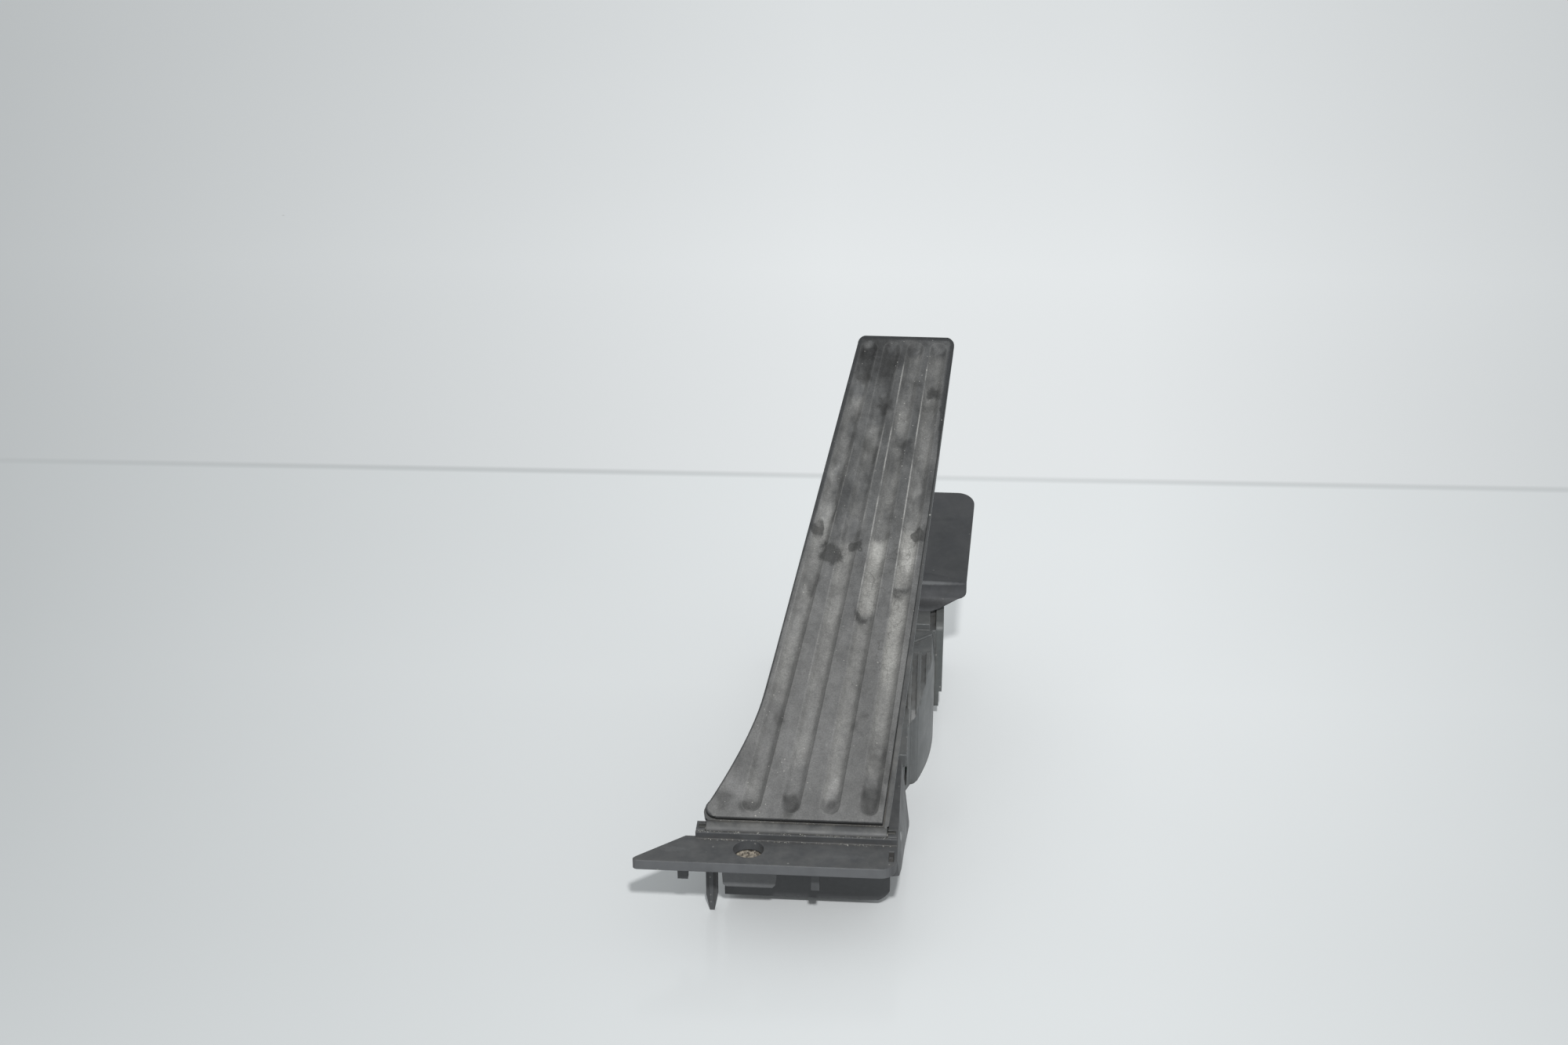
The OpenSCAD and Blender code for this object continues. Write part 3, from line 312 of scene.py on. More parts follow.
def worn_tread():
    """Tread rubber: polished ridges, dust packed in the grooves, greasy smears and white specks."""
    t = Tree("tread_rubber")
    groove = t.attribute("groove_mm")
    along = t.attribute("along")
    right_wall = t.attribute("right_wall")
    # Polished ridges, streaked along the pedal, greyer towards the foot and dark at the head
    streaks = t.ramp(t.noise(42, 6, 0.6, (1, 0.4, 0.4)), 0.32, 0.68)
    base = t.mix(streaks, (0.074, 0.075, 0.076), (0.122, 0.123, 0.122))
    base = t.mix(t.ramp(along, 0.62, 0.30, 0, 0.6), base, (0.176, 0.174, 0.171))
    fine_streaks = t.ramp(t.noise(210, 6, 0.65, (1, 0.3, 0.3)), 0.45, 0.75, 0, 0.4)
    base = t.mix(fine_streaks, base, (0.18, 0.178, 0.172))
    base = t.mix(t.ramp(along, 0.72, 1.0, 0, 0.35), base, (0.045, 0.046, 0.048))
    # Dust in the grooves, cracked where it is thick
    clumps = t.ramp(t.noise(120, 7, 0.68, (1, 0.45, 0.45)), 0.25, 0.75, -0.3, 0.3)
    amount = t.math("ADD", t.attribute("dust"), clumps)
    dusty = t.math("MULTIPLY", t.ramp(groove, 0.15, -1.1), t.ramp(amount, 0.12, 0.95))
    grains = t.ramp(t.noise(1100, 6, 0.7), 0.3, 0.7)
    dust_tone = t.mix(grains, (0.215, 0.212, 0.203), (0.345, 0.34, 0.322))
    base = t.over(base, dust_tone, dusty, 0.92)
    warp = t.node("ShaderNodeTexNoise", {"Vector": t.coords, "Scale": 160.0}).outputs["Color"]
    warped = t.node("ShaderNodeVectorMath", {0: warp, 1: (CRACK_WARP,) * 3, 2: t.coords},
                    operation="MULTIPLY_ADD").outputs[0]
    cracks = t.node("ShaderNodeTexVoronoi", {"Vector": warped, "Scale": 105.0},
                    feature="DISTANCE_TO_EDGE").outputs["Distance"]
    crack = t.math("MULTIPLY", t.ramp(cracks, 0.035, 0.0), t.ramp(amount, 0.85, 1.05))
    base = t.over(base, (0.06, 0.058, 0.052), crack, 0.5)
    # Painted shade on the right side of the grooves, and a dark painted line under their right lip,
    # in the lower half
    wall = t.math("MULTIPLY", t.ramp(groove, -3.6, -0.6), t.ramp(groove, 0.2, -0.1))
    right_wall_shade = t.math("MULTIPLY", wall, right_wall)
    patchy = t.math("MULTIPLY", t.ramp(along, 0.85, 0.4, 0.15, 0.55),
                    t.ramp(t.noise(60, 4), 0.35, 0.65, 0.55, 1))
    base = t.over(base, (0.066, 0.066, 0.065), right_wall_shade, patchy)
    line = t.ramp(t.math("ABSOLUTE", t.math("ADD", groove, 0.2)), 0.4, 0.1)
    lower = t.ramp(along, 0.66, 0.40)
    under_lip = t.math("MULTIPLY", line, t.math("MULTIPLY", right_wall, lower))
    base = t.over(base, (0.045, 0.044, 0.042), under_lip, 0.4)
    # Clouds of wear, then the darker and lighter areas, among them painted shade at the grooves'
    # foot ends and painted light at their head ends
    clouds = t.ramp(t.noise(105, 5, 0.62, (1, 0.7, 0.7), 0.6), 0.35, 0.65, -1, 1)
    clouds = t.math("MULTIPLY", clouds, t.ramp(along, 0.2, 0.6, 0.11, 0.22))
    clouds = t.math("ADD", clouds, t.ramp(t.noise(32, 3, 0.5), 0.35, 0.65, -0.11, 0.11))
    cloudy = t.math("ADD", t.math("ADD", clouds, t.attribute("shade")), 1.0)
    base = t.shaded(base, cloudy)
    # Light edges of the grooves: rubbed by the shoe, and painted light on the walls that face the
    # flash
    lip = t.math("MULTIPLY", t.ramp(t.math("ABSOLUTE", t.math("ADD", groove, -0.05)), 0.42, 0.1),
                 t.ramp(t.noise(110, 6, 0.7, (1, 0.5, 0.5)), 0.38, 0.62, 0.1, 1))
    base = t.over(base, (0.37, 0.365, 0.35), lip, t.attribute("lip"))
    # Grease smears with ragged edges
    ragged = t.ramp(t.noise(260, 7, 0.75), 0.25, 0.75, -0.45, 0.45)
    smear = t.ramp(t.math("ADD", t.attribute("smear"), ragged), 0.35, 0.75)
    base = t.over(base, (0.038, 0.038, 0.037), smear, 0.72)
    # Clean dark border, and painted shade in the crevice along the tread's edge, then white specks
    # and a fine grain of tone
    base = t.mix(t.attribute("rim"), base, (0.036, 0.038, 0.04))
    base = t.mix(t.ramp(t.attribute("border_mm"), 0.4, 0.1, 0, 0.6), base, (0.02, 0.021, 0.022))
    white = t.math("MAXIMUM", t.specks(520, 0.045, 0.2), t.specks(900, 0.03, 0.26))
    base = t.over(base, (0.46, 0.45, 0.42), white, t.ramp(t.noise(40, 3), 0.42, 0.6, 0.1, 0.7))
    base = t.shaded(base, t.math("MULTIPLY", t.ramp(t.noise(1900, 3), 0.3, 0.7, 0.82, 1.18),
                                 t.ramp(t.noise(330, 6, 0.75), 0.3, 0.7, 0.88, 1.12)))
    t.put("Base Color", base)
    t.put("Roughness", t.ramp(t.math("MAXIMUM", dusty, t.noise(60, 4)), 0.3, 0.95, 0.58, 0.92))
    t.put("Specular IOR Level", 0.3)
    height = t.math("ADD", t.math("MULTIPLY", t.noise(1400, 4), 0.4),
                    t.math("MULTIPLY", dusty, t.noise(600, 5)))
    t.put("Normal", t.bump(t.math("SUBTRACT", height, crack), 0.00016, strength=0.6))
    return t.material


def loose_grit(name, dark, light):
    """Grit whose grains each have their own tone."""
    t = Tree(name)
    grains = t.node("ShaderNodeTexVoronoi", {"Vector": t.coords, "Scale": 1300.0}).outputs["Color"]
    value = t.node("ShaderNodeSeparateColor", {0: grains}).outputs[0]
    base = t.mix(t.ramp(value, 0.1, 0.9), dark, light)
    base = t.mix(t.ramp(t.noise(1500, 4), 0.6, 0.72), base, (0.52, 0.49, 0.43))
    t.put("Base Color", base)
    t.put("Roughness", 0.93)
    t.put("Normal", t.bump(t.noise(2200, 4), 0.0002, strength=0.7))
    return t.material


# ---------------------------------------------------------------- pieces

def linked(name, data):
    """A new object in the scene."""
    made = bpy.data.objects.new(name, data)
    bpy.context.scene.collection.objects.link(made)
    return made


def mesh_object(name, vertices, faces, material, smooth_faces=True):
    mesh = bpy.data.meshes.new(name)
    mesh.from_pydata(vertices, [], faces)
    mesh.validate()
    for polygon in mesh.polygons:
        polygon.use_smooth = smooth_faces
    mesh.materials.append(material)
    return linked(name, mesh)


def add_values(mesh_obj, name, values):
    attribute = mesh_obj.data.attributes.new(name, "FLOAT", "POINT")
    attribute.data.foreach_set("value", values)


# Outline of the tread: straight sides, a flare at the left foot and round corners
LEFT_HEAD = Vector((33.0, 249.61))
WAIST = Vector((1.85, 62.0))
FLARE_BEND = Vector((-1.95, 40.0))
FLARE_END = Vector((-18.2, 7.4))
LEFT_FOOT_CENTRE = Vector((-14.6, 6.15))
RIGHT_FOOT = Vector((53.7, 1.35))
RIGHT_HEAD_CENTRE = Vector((73.35, 249.7))
LEFT_HEAD_CENTRE = Vector((37.4, 249.7))
CORNER_R = 4.4


def flare_x(v):
    """Left edge where it flares out, from the curve's parameter found by halving."""
    low, high = 0.0, 1.0
    for _ in range(30):
        t = (low + high) / 2
        y = (1 - t) ** 2 * WAIST.y + 2 * t * (1 - t) * FLARE_BEND.y + t * t * FLARE_END.y
        low, high = (t, high) if y > v else (low, t)
    return (1 - t) ** 2 * WAIST.x + 2 * t * (1 - t) * FLARE_BEND.x + t * t * FLARE_END.x


def left_edge(v):
    foot, head = LEFT_FOOT_CENTRE, LEFT_HEAD_CENTRE
    if v < foot.y:
        return foot.x - math.sqrt(max(CORNER_R ** 2 - (foot.y - v) ** 2, 0))
    if v < foot.y + 3:
        start = flare_x(foot.y + 3) - foot.x + CORNER_R
        return foot.x - CORNER_R + start * ((v - foot.y) / 3) ** 1.6
    if v < WAIST.y:
        return flare_x(v)
    if v < LEFT_HEAD.y:
        return WAIST.x + (LEFT_HEAD.x - WAIST.x) * (v - WAIST.y) / (LEFT_HEAD.y - WAIST.y)
    return head.x - math.sqrt(max(CORNER_R ** 2 - (v - head.y) ** 2, 0))


def right_edge(v):
    head = RIGHT_HEAD_CENTRE
    if v < head.y:
        across = head.x + CORNER_R - RIGHT_FOOT.x
        return RIGHT_FOOT.x + across * (v - RIGHT_FOOT.y) / (head.y - RIGHT_FOOT.y)
    return head.x + math.sqrt(max(CORNER_R ** 2 - (v - head.y) ** 2, 0))


GROOVES = [(Vector((-0.2 + 16.0 * i, 8.6)), Vector((38.5 + 10.7 * i, 246.2))) for i in range(4)]

# Dust packed in the grooves: groove from the left, start and end along the plate, strength
DUST_RUNS = [
    (0, 60, 150, 0.42), (0, 14, 60, 0.16), (0, 150, 215, 0.34), (1, 70, 136, 0.48),
    (1, 30, 70, 0.38), (1, 136, 200, 0.25), (2, 104, 137, 0.98), (2, 46, 95, 0.50),
    (2, 139, 240, 0.36), (2, 14, 46, 0.42), (3, 119, 142, 1.0), (3, 70, 110, 0.90),
    (3, 145, 240, 0.38), (3, 40, 70, 0.62), (3, 26, 40, 0.4),
]
DUST_FADE = 7.0
SMEAR_WARP = 5.0
LIP_FADE = (14, 6)
FAINT = 0.12

# Grease: middle across and along, half width, half length, strength
SMEARS = [
    (18.8, 144.5, 3.0, 4.5, 1.0), (27.0, 131.1, 4.5, 6.0, 0.85), (36.4, 136.4, 2.5, 3.5, 0.9),
    (65.4, 143.0, 2.2, 5.0, 1.0), (70.3, 222.0, 3.0, 4.5, 0.7), (47.5, 213.5, 4.0, 5.0, 0.62),
    (74.5, 203.0, 1.8, 9.0, 1.0), (41.5, 98.6, 4.8, 4.0, 0.5), (57.4, 113.5, 4.0, 3.6, 0.45),
    (38.5, 234.0, 4.5, 10.0, 0.6), (49.0, 238.0, 4.5, 9.0, 0.5), (24.0, 137.0, 3.0, 4.0, 0.55),
]

# Soft darker (below 0) and lighter (above 0) areas, among them painted shade at the grooves' foot
# ends
# and painted light at their head ends: middle across and along, half width, half length, amount
SHADES = [
    (4.0, 42.0, 15.0, 40.0, -0.15), (62.0, 30.0, 8.0, 20.0, -0.08),
    (40.0, 24.0, 14.0, 14.0, -0.05), (-0.5, 8.4, 3.9, 4.6, -0.5), (16.0, 9.2, 4.0, 6.0, -0.55),
    (31.9, 8.4, 3.9, 4.4, -0.55), (48.8, 11.0, 4.2, 8.0, -0.4), (53.0, 25.0, 2.6, 14.0, -0.3),
    (-12.6, 9.5, 4.5, 2.8, -0.35), (-8.3, 15.5, 5.0, 3.0, 0.15), (8.0, 50.5, 2.0, 4.0, -0.3),
    (42.4, 46.0, 2.6, 4.4, -0.3), (-3.5, 29.0, 6.0, 8.0, -0.16), (33.0, 17.5, 3.2, 5.0, 0.25),
    (12.0, 30.0, 4.0, 16.0, 0.12), (18.5, 115.0, 2.6, 6.0, -0.35), (11.8, 94.0, 3.2, 8.0, 0.2),
    (42.0, 98.6, 5.0, 4.0, -0.3), (57.4, 113.0, 4.2, 4.2, -0.3), (50.0, 106.0, 2.8, 10.0, -0.2),
    (43.0, 241.0, 12.0, 15.0, -0.42), (38.4, 247.9, 3.4, 2.0, 0.65),
    (49.2, 247.9, 3.0, 1.8, 0.45), (59.8, 248.0, 3.5, 2.0, 0.45), (70.6, 248.0, 3.5, 2.0, 0.35),
    (33.6, 221.0, 2.6, 6.5, 0.32), (47.5, 213.5, 5.0, 5.5, -0.3), (55.6, 193.0, 3.4, 5.0, -0.3),
    (42.0, 188.5, 2.8, 10.0, -0.25), (62.0, 226.6, 2.6, 3.6, -0.3), (69.0, 221.6, 3.2, 4.6, -0.3),
    (33.5, 199.0, 2.0, 12.0, -0.22), (57.5, 206.0, 4.0, 11.0, 0.18), (43.7, 218.5, 2.0, 4.0, 0.3),
    (65.0, 200.0, 3.6, 10.0, 0.14), (25.6, 176.0, 2.2, 9.0, 0.42), (22.5, 155.0, 2.6, 7.5, 0.42),
    (36.0, 146.0, 3.2, 7.0, 0.34), (47.0, 132.0, 3.6, 6.0, 0.3), (60.0, 133.0, 3.6, 7.0, 0.3),
    (63.7, 161.0, 2.6, 10.0, 0.2), (48.7, 143.5, 3.6, 5.0, -0.26), (62.0, 155.0, 3.0, 5.0, -0.2),
    (39.4, 173.5, 2.6, 5.0, -0.2), (28.5, 190.0, 2.4, 9.0, 0.22), (26.5, 152.0, 2.0, 8.0, -0.25),
    (65.5, 238.0, 8.0, 9.0, 0.12),
]

# Light edges of the grooves, rubbed wear with painted light: groove, 1 for its right edge, start
# and end along the plate, strength
LIT_AND_RUBBED_LIPS = [
    (2, 0, 96, 236, 1.0), (3, 0, 112, 236, 1.0), (0, 1, 140, 190, 0.35), (1, 1, 140, 205, 0.4),
    (0, 0, 60, 130, 0.3), (1, 0, 60, 130, 0.4), (2, 1, 100, 140, 0.4), (3, 1, 118, 150, 0.5),
]


def groove_place(point):
    """(distance outside the nearest groove, its number, 1 on its right side and 0 on its left)"""
    best = None
    for index, (foot, head) in enumerate(GROOVES):
        line = head - foot
        t = min(max((point - foot).dot(line) / line.length_squared, 0), 1)
        half = GROOVE_HALF_FOOT + (GROOVE_HALF_HEAD - GROOVE_HALF_FOOT) * t
        away = (point - foot - line * t).length - half
        if best is None or away < best[0]:
            best = (away, index, smooth(-0.5, 1.5, point.x - foot.x - line.x * t))
    return best


def dust_at(groove, v):
    amount = FAINT
    for index, start, end, strength in DUST_RUNS:
        if index == groove:
            run = smooth(start - DUST_FADE, start, v)
            amount = max(amount, strength * run * (1 - smooth(end, end + DUST_FADE, v)))
    return amount


def pushed(point, scale_x, scale_y, layer):
    """A place pushed about by noise, so that spots lose their round outline."""
    shift = noise.noise_vector(Vector((point.x * scale_x, point.y * scale_y, layer)))
    return point + Vector((shift.x, shift.y)) * SMEAR_WARP


def smear_at(point):
    point = pushed(point, 0.22, 0.16, 5.0)
    return max(s * (1 - math.hypot((point.x - x) / rx, (point.y - y) / ry)) + 0.5 * s
               for x, y, rx, ry, s in SMEARS)


def shade_at(point):
    point = pushed(point, 0.18, 0.13, 9.0)
    return sum(s * (1 - smooth(0.45, 1.25, math.hypot((point.x - x) / rx, (point.y - y) / ry)))
               for x, y, rx, ry, s in SHADES)


def lip_at(groove, side, v):
    amount = FAINT
    before, after = LIP_FADE
    for index, right, start, end, strength in LIT_AND_RUBBED_LIPS:
        if index == groove:
            run = smooth(start - before, start + before, v)
            run *= 1 - smooth(end - after, end + after, v)
            amount = max(amount, strength * run * (side if right else 1 - side))
    return amount


def rim_band(p, x0, x1):
    """Width of the clean dark border beside a place, and how dark it is."""
    left = 1.1 + 1.3 * smooth(120, 165, p.y)
    right = 0.3 + 2.1 * smooth(180, 215, p.y)
    sides = [(p.x - x0, left, 0.75), (x1 - p.x, right, 0.85),
             (TREAD_HEAD_V - p.y, 3.0, 0.9), (p.y - TREAD_FOOT_V, 0.5, 0.5)]
    return min(sides)[1:]


def spaced(length, near, step):
    """Places from 0 to length, closer together within the given distances of both ends."""
    count = max(int((length - 2 * near[-1]) / step), 2)
    middle = [near[-1] + (length - 2 * near[-1]) * i / count for i in range(1, count)]
    return list(near) + middle + [length - d for d in reversed(near)]


# Distances from the tread's edges of its closest rows, and of more rows at its ends
NEAR_EDGE = (0, 0.1, 0.25, 0.45, 0.7, 1.0, 1.5)
NEAR_END = NEAR_EDGE + (2.1, 2.8, 3.6)
NEAR_WIDTH = 60
ROW_STEP = 1.0
COLUMN_STEP = 1 / 118
TREAD_FIELDS = ("groove_mm", "right_wall", "border_mm", "along", "dust", "smear", "shade", "lip",
                "rim")
UNDERSIDE = {"groove_mm": 9.0, "smear": -1.0, "rim": 0.9}


def build_tread():
    """The whole tread: soft grooves, rolled rim, side walls and underside."""
    length = TREAD_HEAD_V - TREAD_FOOT_V
    rows = [TREAD_FOOT_V + d for d in spaced(length, NEAR_END, ROW_STEP)]
    fractions = spaced(1.0, [d / NEAR_WIDTH for d in NEAR_EDGE], COLUMN_STEP)
    border = [Vector((left_edge(v), v)) for v in rows]
    border += [Vector((right_edge(v), v)) for v in reversed(rows)]
    vertices = []
    values = {name: [] for name in TREAD_FIELDS}
    for v in rows:
        x0, x1 = left_edge(v), right_edge(v)
        end_gap = min(v - TREAD_FOOT_V, TREAD_HEAD_V - v)
        for f in fractions:
            p = Vector((x0 + (x1 - x0) * f, v))
            gap = max(min(p.x - x0, x1 - p.x, end_gap), 0.0)
            if end_gap < CORNER_R + 1:
                gap = min(gap, min((p - q).length for q in border if abs(q.y - v) < 6))
            away, index, side = groove_place(p)
            n = TREAD_TOP
            if gap < TREAD_RIM_R:
                n -= TREAD_RIM_R - math.sqrt(TREAD_RIM_R ** 2 - (TREAD_RIM_R - gap) ** 2)
            n -= GROOVE_DEPTH * (1 - smooth(-GROOVE_WALL, 0.05, away))
            n -= WAVE_DEPTH * max(noise.noise(Vector((p.x * 0.05, v * 0.03, 3.0))), 0)
            vertices.append(pad_point(p.x, v + FOOT_A, n))
            band, darkness = rim_band(p, x0, x1)
            here = (away, side, gap, (v - TREAD_FOOT_V) / length, dust_at(index, v), smear_at(p),
                    shade_at(p), lip_at(index, side, v),
                    darkness * (1 - smooth(0.55 * band, band, gap)))
            for name, value in zip(TREAD_FIELDS, here):
                values[name].append(value)
    columns, last_row = len(fractions), len(rows) - 1
    faces = [(a, a + 1, a + columns + 1, a + columns)
             for j in range(last_row) for a in range(j * columns, (j + 1) * columns - 1)]
    # Ring of the border's vertices, anticlockwise from the left foot
    ring = list(range(columns)) + [j * columns + columns - 1 for j in range(1, len(rows))]
    ring += [last_row * columns + i for i in range(columns - 2, -1, -1)]
    ring += [j * columns for j in range(last_row - 1, 0, -1)]
    lowest = len(vertices)
    normal = pad_point(0, 0, 1) - pad_point(0, 0, 0)
    for index in ring:
        height = (vertices[index] - pad_point(0, 0, 0)).dot(normal) / normal.length_squared
        vertices.append(vertices[index] - normal * (height - PLATE_TOP))
        below = {**UNDERSIDE, "along": values["along"][index]}
        for name in TREAD_FIELDS:
            values[name].append(below.get(name, 0.0))
    count = len(ring)
    faces += [(ring[(k + 1) % count], ring[k], lowest + k, lowest + (k + 1) % count)
              for k in range(count)]
    faces.append(tuple(lowest + k for k in reversed(range(count))))
    piece = mesh_object("tread_surface", vertices, faces, worn_tread())
    for name in TREAD_FIELDS:
        add_values(piece, name, values[name])
    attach(piece, "pedal")
    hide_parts("tread")


def baked_mesh(obj):
    """Puts the result of an object's modifiers into its mesh."""
    bpy.context.view_layer.update()
    evaluated = obj.evaluated_get(bpy.context.evaluated_depsgraph_get())
    mesh = bpy.data.meshes.new_from_object(evaluated)
    obj.modifiers.clear()
    obj.data = mesh


def opened(node_name, name):
    """A copy of a node's mesh, and a bmesh of it with its corners joined."""
    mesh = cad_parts[node_name].data.copy()
    mesh.name = name
    bm = bmesh.new()
    bm.from_mesh(mesh)
    bmesh.ops.remove_doubles(bm, verts=bm.verts, dist=1e-6)
    return mesh, bm


def join_flat_faces(bm):
    bmesh.ops.dissolve_limit(bm, angle_limit=math.radians(0.5), verts=bm.verts, edges=bm.edges)


def round_edges(bm, edges, radius, segments):
    bmesh.ops.bevel(bm, geom=edges, offset=radius * MM, segments=segments, profile=0.5,
                    affect="EDGES", clamp_overlap=True)


def closed(mesh, bm, material):
    """The finished object of a reworked copy."""
    bm.to_mesh(mesh)
    bm.free()
    mesh.materials.clear()
    mesh.materials.append(material)
    return linked(mesh.name, mesh)


LUG_TOP = 2.9
LUG_LEFT = -18.4
LUG_RIGHT = 55.9
LUG_REACH = 3.7
FLANGE_EDGE_R = 0.8
FLANGE_THICK = 4.5
FLANGE_BACK_Y = 7.9
HOLE_CLEAR_R = 8
TIP_X = -44
TIP_CORNER_R = 0.9


def build_base_shell(material):
    """The base with rounded flange edges, and with the hinge lugs cut level with the cross rib."""
    mesh, bm = opened("base_bracket", "base_shell")
    for vertex in bm.verts:
        x, y, z = vertex.co / MM
        if (x < LUG_LEFT or x > LUG_RIGHT) and abs(y - HINGE.y) < LUG_REACH and z > LUG_TOP:
            vertex.co.z = LUG_TOP * MM
    join_flat_faces(bm)
    upright = [e for e in bm.edges if all(v.co.x < TIP_X * MM for v in e.verts)
               and abs(e.verts[0].co.z - e.verts[1].co.z) > 4 * MM]
    round_edges(bm, upright, TIP_CORNER_R, 4)
    chosen = []
    for edge in bm.edges:
        ends = [v.co / MM for v in edge.verts]
        level = any(all(abs(p.z + depth) < 0.01 for p in ends) for depth in (0, FLANGE_THICK))
        outside = all(p.y < FLANGE_BACK_Y and p.xy.length > HOLE_CLEAR_R for p in ends)
        sharp = edge.is_manifold and edge.is_convex and edge.calc_face_angle(0) > 0.6
        if level and outside and sharp:
            chosen.append(edge)
    round_edges(bm, chosen, FLANGE_EDGE_R, 3)
    piece = closed(mesh, bm, material)
    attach(piece, "base")
    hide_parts("base_bracket")


COVER_EDGE_R = 0.9


def build_cover_shell(material):
    """The sensor cover with rounded edges."""
    mesh, bm = opened("sensor_cover", "cover_shell")
    join_flat_faces(bm)
    sharp = [e for e in bm.edges if e.is_manifold and e.is_convex and e.calc_face_angle(0) > 1.2
             and e.calc_length() > 6 * MM]
    round_edges(bm, sharp, COVER_EDGE_R, 3)
    piece = closed(mesh, bm, material)
    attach(piece, "base")
    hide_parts("sensor_cover")


# Block under the screw hole: outlines of its face and cheeks, each between two distances
# from the heel
BLOCK_LEFT = [(-11.6, -4.5), (-11.3, -12.0), (-10.9, -19.4), (-9.6, -20.6)]
BLOCK_RIGHT = [(9.4, -20.6), (10.6, -19.2), (11.4, -12.0), (12.2, -11.0), (12.2, -4.5)]
BLOCK_PLATES = [
    (BLOCK_LEFT + BLOCK_RIGHT + [(7.6, -4.5), (7.6, -7.8), (-7.6, -7.8), (-7.6, -4.5)], 2.9, 3.4),
    (BLOCK_LEFT + [(-9.4, -4.5)], 3.4, 15.5),
    ([(9.4, -4.5)] + BLOCK_RIGHT, 3.4, 15.5),
]


def build_block_face(material):
    """Face and cheeks of the block under the screw hole, a little wider at its top."""
    vertices, faces = [], []
    for outline, near, far in BLOCK_PLATES:
        start, count = len(vertices), len(outline)
        vertices += [Vector((x, y, z)) * MM for y in (near, far) for x, z in outline]
        faces.append(tuple(start + k for k in range(count)))
        faces.append(tuple(start + count + k for k in reversed(range(count))))
        far_start = start + count
        faces += [(start + (k + 1) % count, start + k, far_start + k, far_start + (k + 1) % count)
                  for k in range(count)]
    piece = mesh_object("block_face", vertices, faces, material, smooth_faces=False)
    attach(piece, "base")


# Side panel, in its own frame: x across, u up the slope, w out of it
PANEL_Y = 170.0
PANEL_Z = 24.3
PANEL_SLOPE = math.radians(16.4)
PANEL_LEFT = 49.4
PANEL_THICK = 2.0
PANEL_LEN = 76.0
PANEL_CORNER_R = 8.0
PANEL_CORNER_X = 82.1
PANEL_LOW_RIGHT = 86.6
PANEL_LOW_U = 9
PANEL_EDGE_R = 0.35
BEND_U = 14.8
BEND_R = 2.6
BEND_ANGLE = math.radians(74)
FLAP_LEN = 12.0
PANEL_SCREWS = ((55.0, 18.0), (55.0, 52.0))
SHANK_R = 1.7
SINK_R = 3.5
SINK_DEPTH = 1.8

# Right edge of the flap by its distance below the bend: a round corner, then two slanting cuts
FLAP_EDGE = ((0, 86.8), (1.2, 86.7), (2.2, 86.2), (3.2, 84.9), (3.9, 83.0), (9.3, 74.5),
             (11.0, 70.5), (FLAP_LEN, 67.0))
FLAP_ROWS = (1.2, 2.2, 3.2, 3.9, 6.5, 9.3, 11.0, FLAP_LEN)


def panel_point(x, u, w):
    s, c = math.sin(PANEL_SLOPE), math.cos(PANEL_SLOPE)
    return Vector((x, PANEL_Y + u * c - w * s, PANEL_Z + u * s + w * c)) * MM


def panel_right(u):
    """Right edge of the panel above its bend."""
    corner_u = PANEL_LEN - PANEL_CORNER_R
    if u > corner_u:
        return PANEL_CORNER_X + math.sqrt(max(PANEL_CORNER_R ** 2 - (u - corner_u) ** 2, 0))
    across = PANEL_CORNER_X + PANEL_CORNER_R - PANEL_LOW_RIGHT
    return PANEL_LOW_RIGHT + across * (u - PANEL_LOW_U) / (corner_u - PANEL_LOW_U)


def flap_right(d):
    for (d0, x0), (d1, x1) in zip(FLAP_EDGE, FLAP_EDGE[1:]):
        if d <= d1:
            return x0 + (x1 - x0) * (d - d0) / (d1 - d0)


def add_cone(bm, place, turn, foot_r, head_r, depth):
    bmesh.ops.create_cone(bm, cap_ends=True, segments=32, radius1=foot_r * MM, radius2=head_r * MM,
                          depth=depth * MM, matrix=Matrix.Translation(place) @ turn)


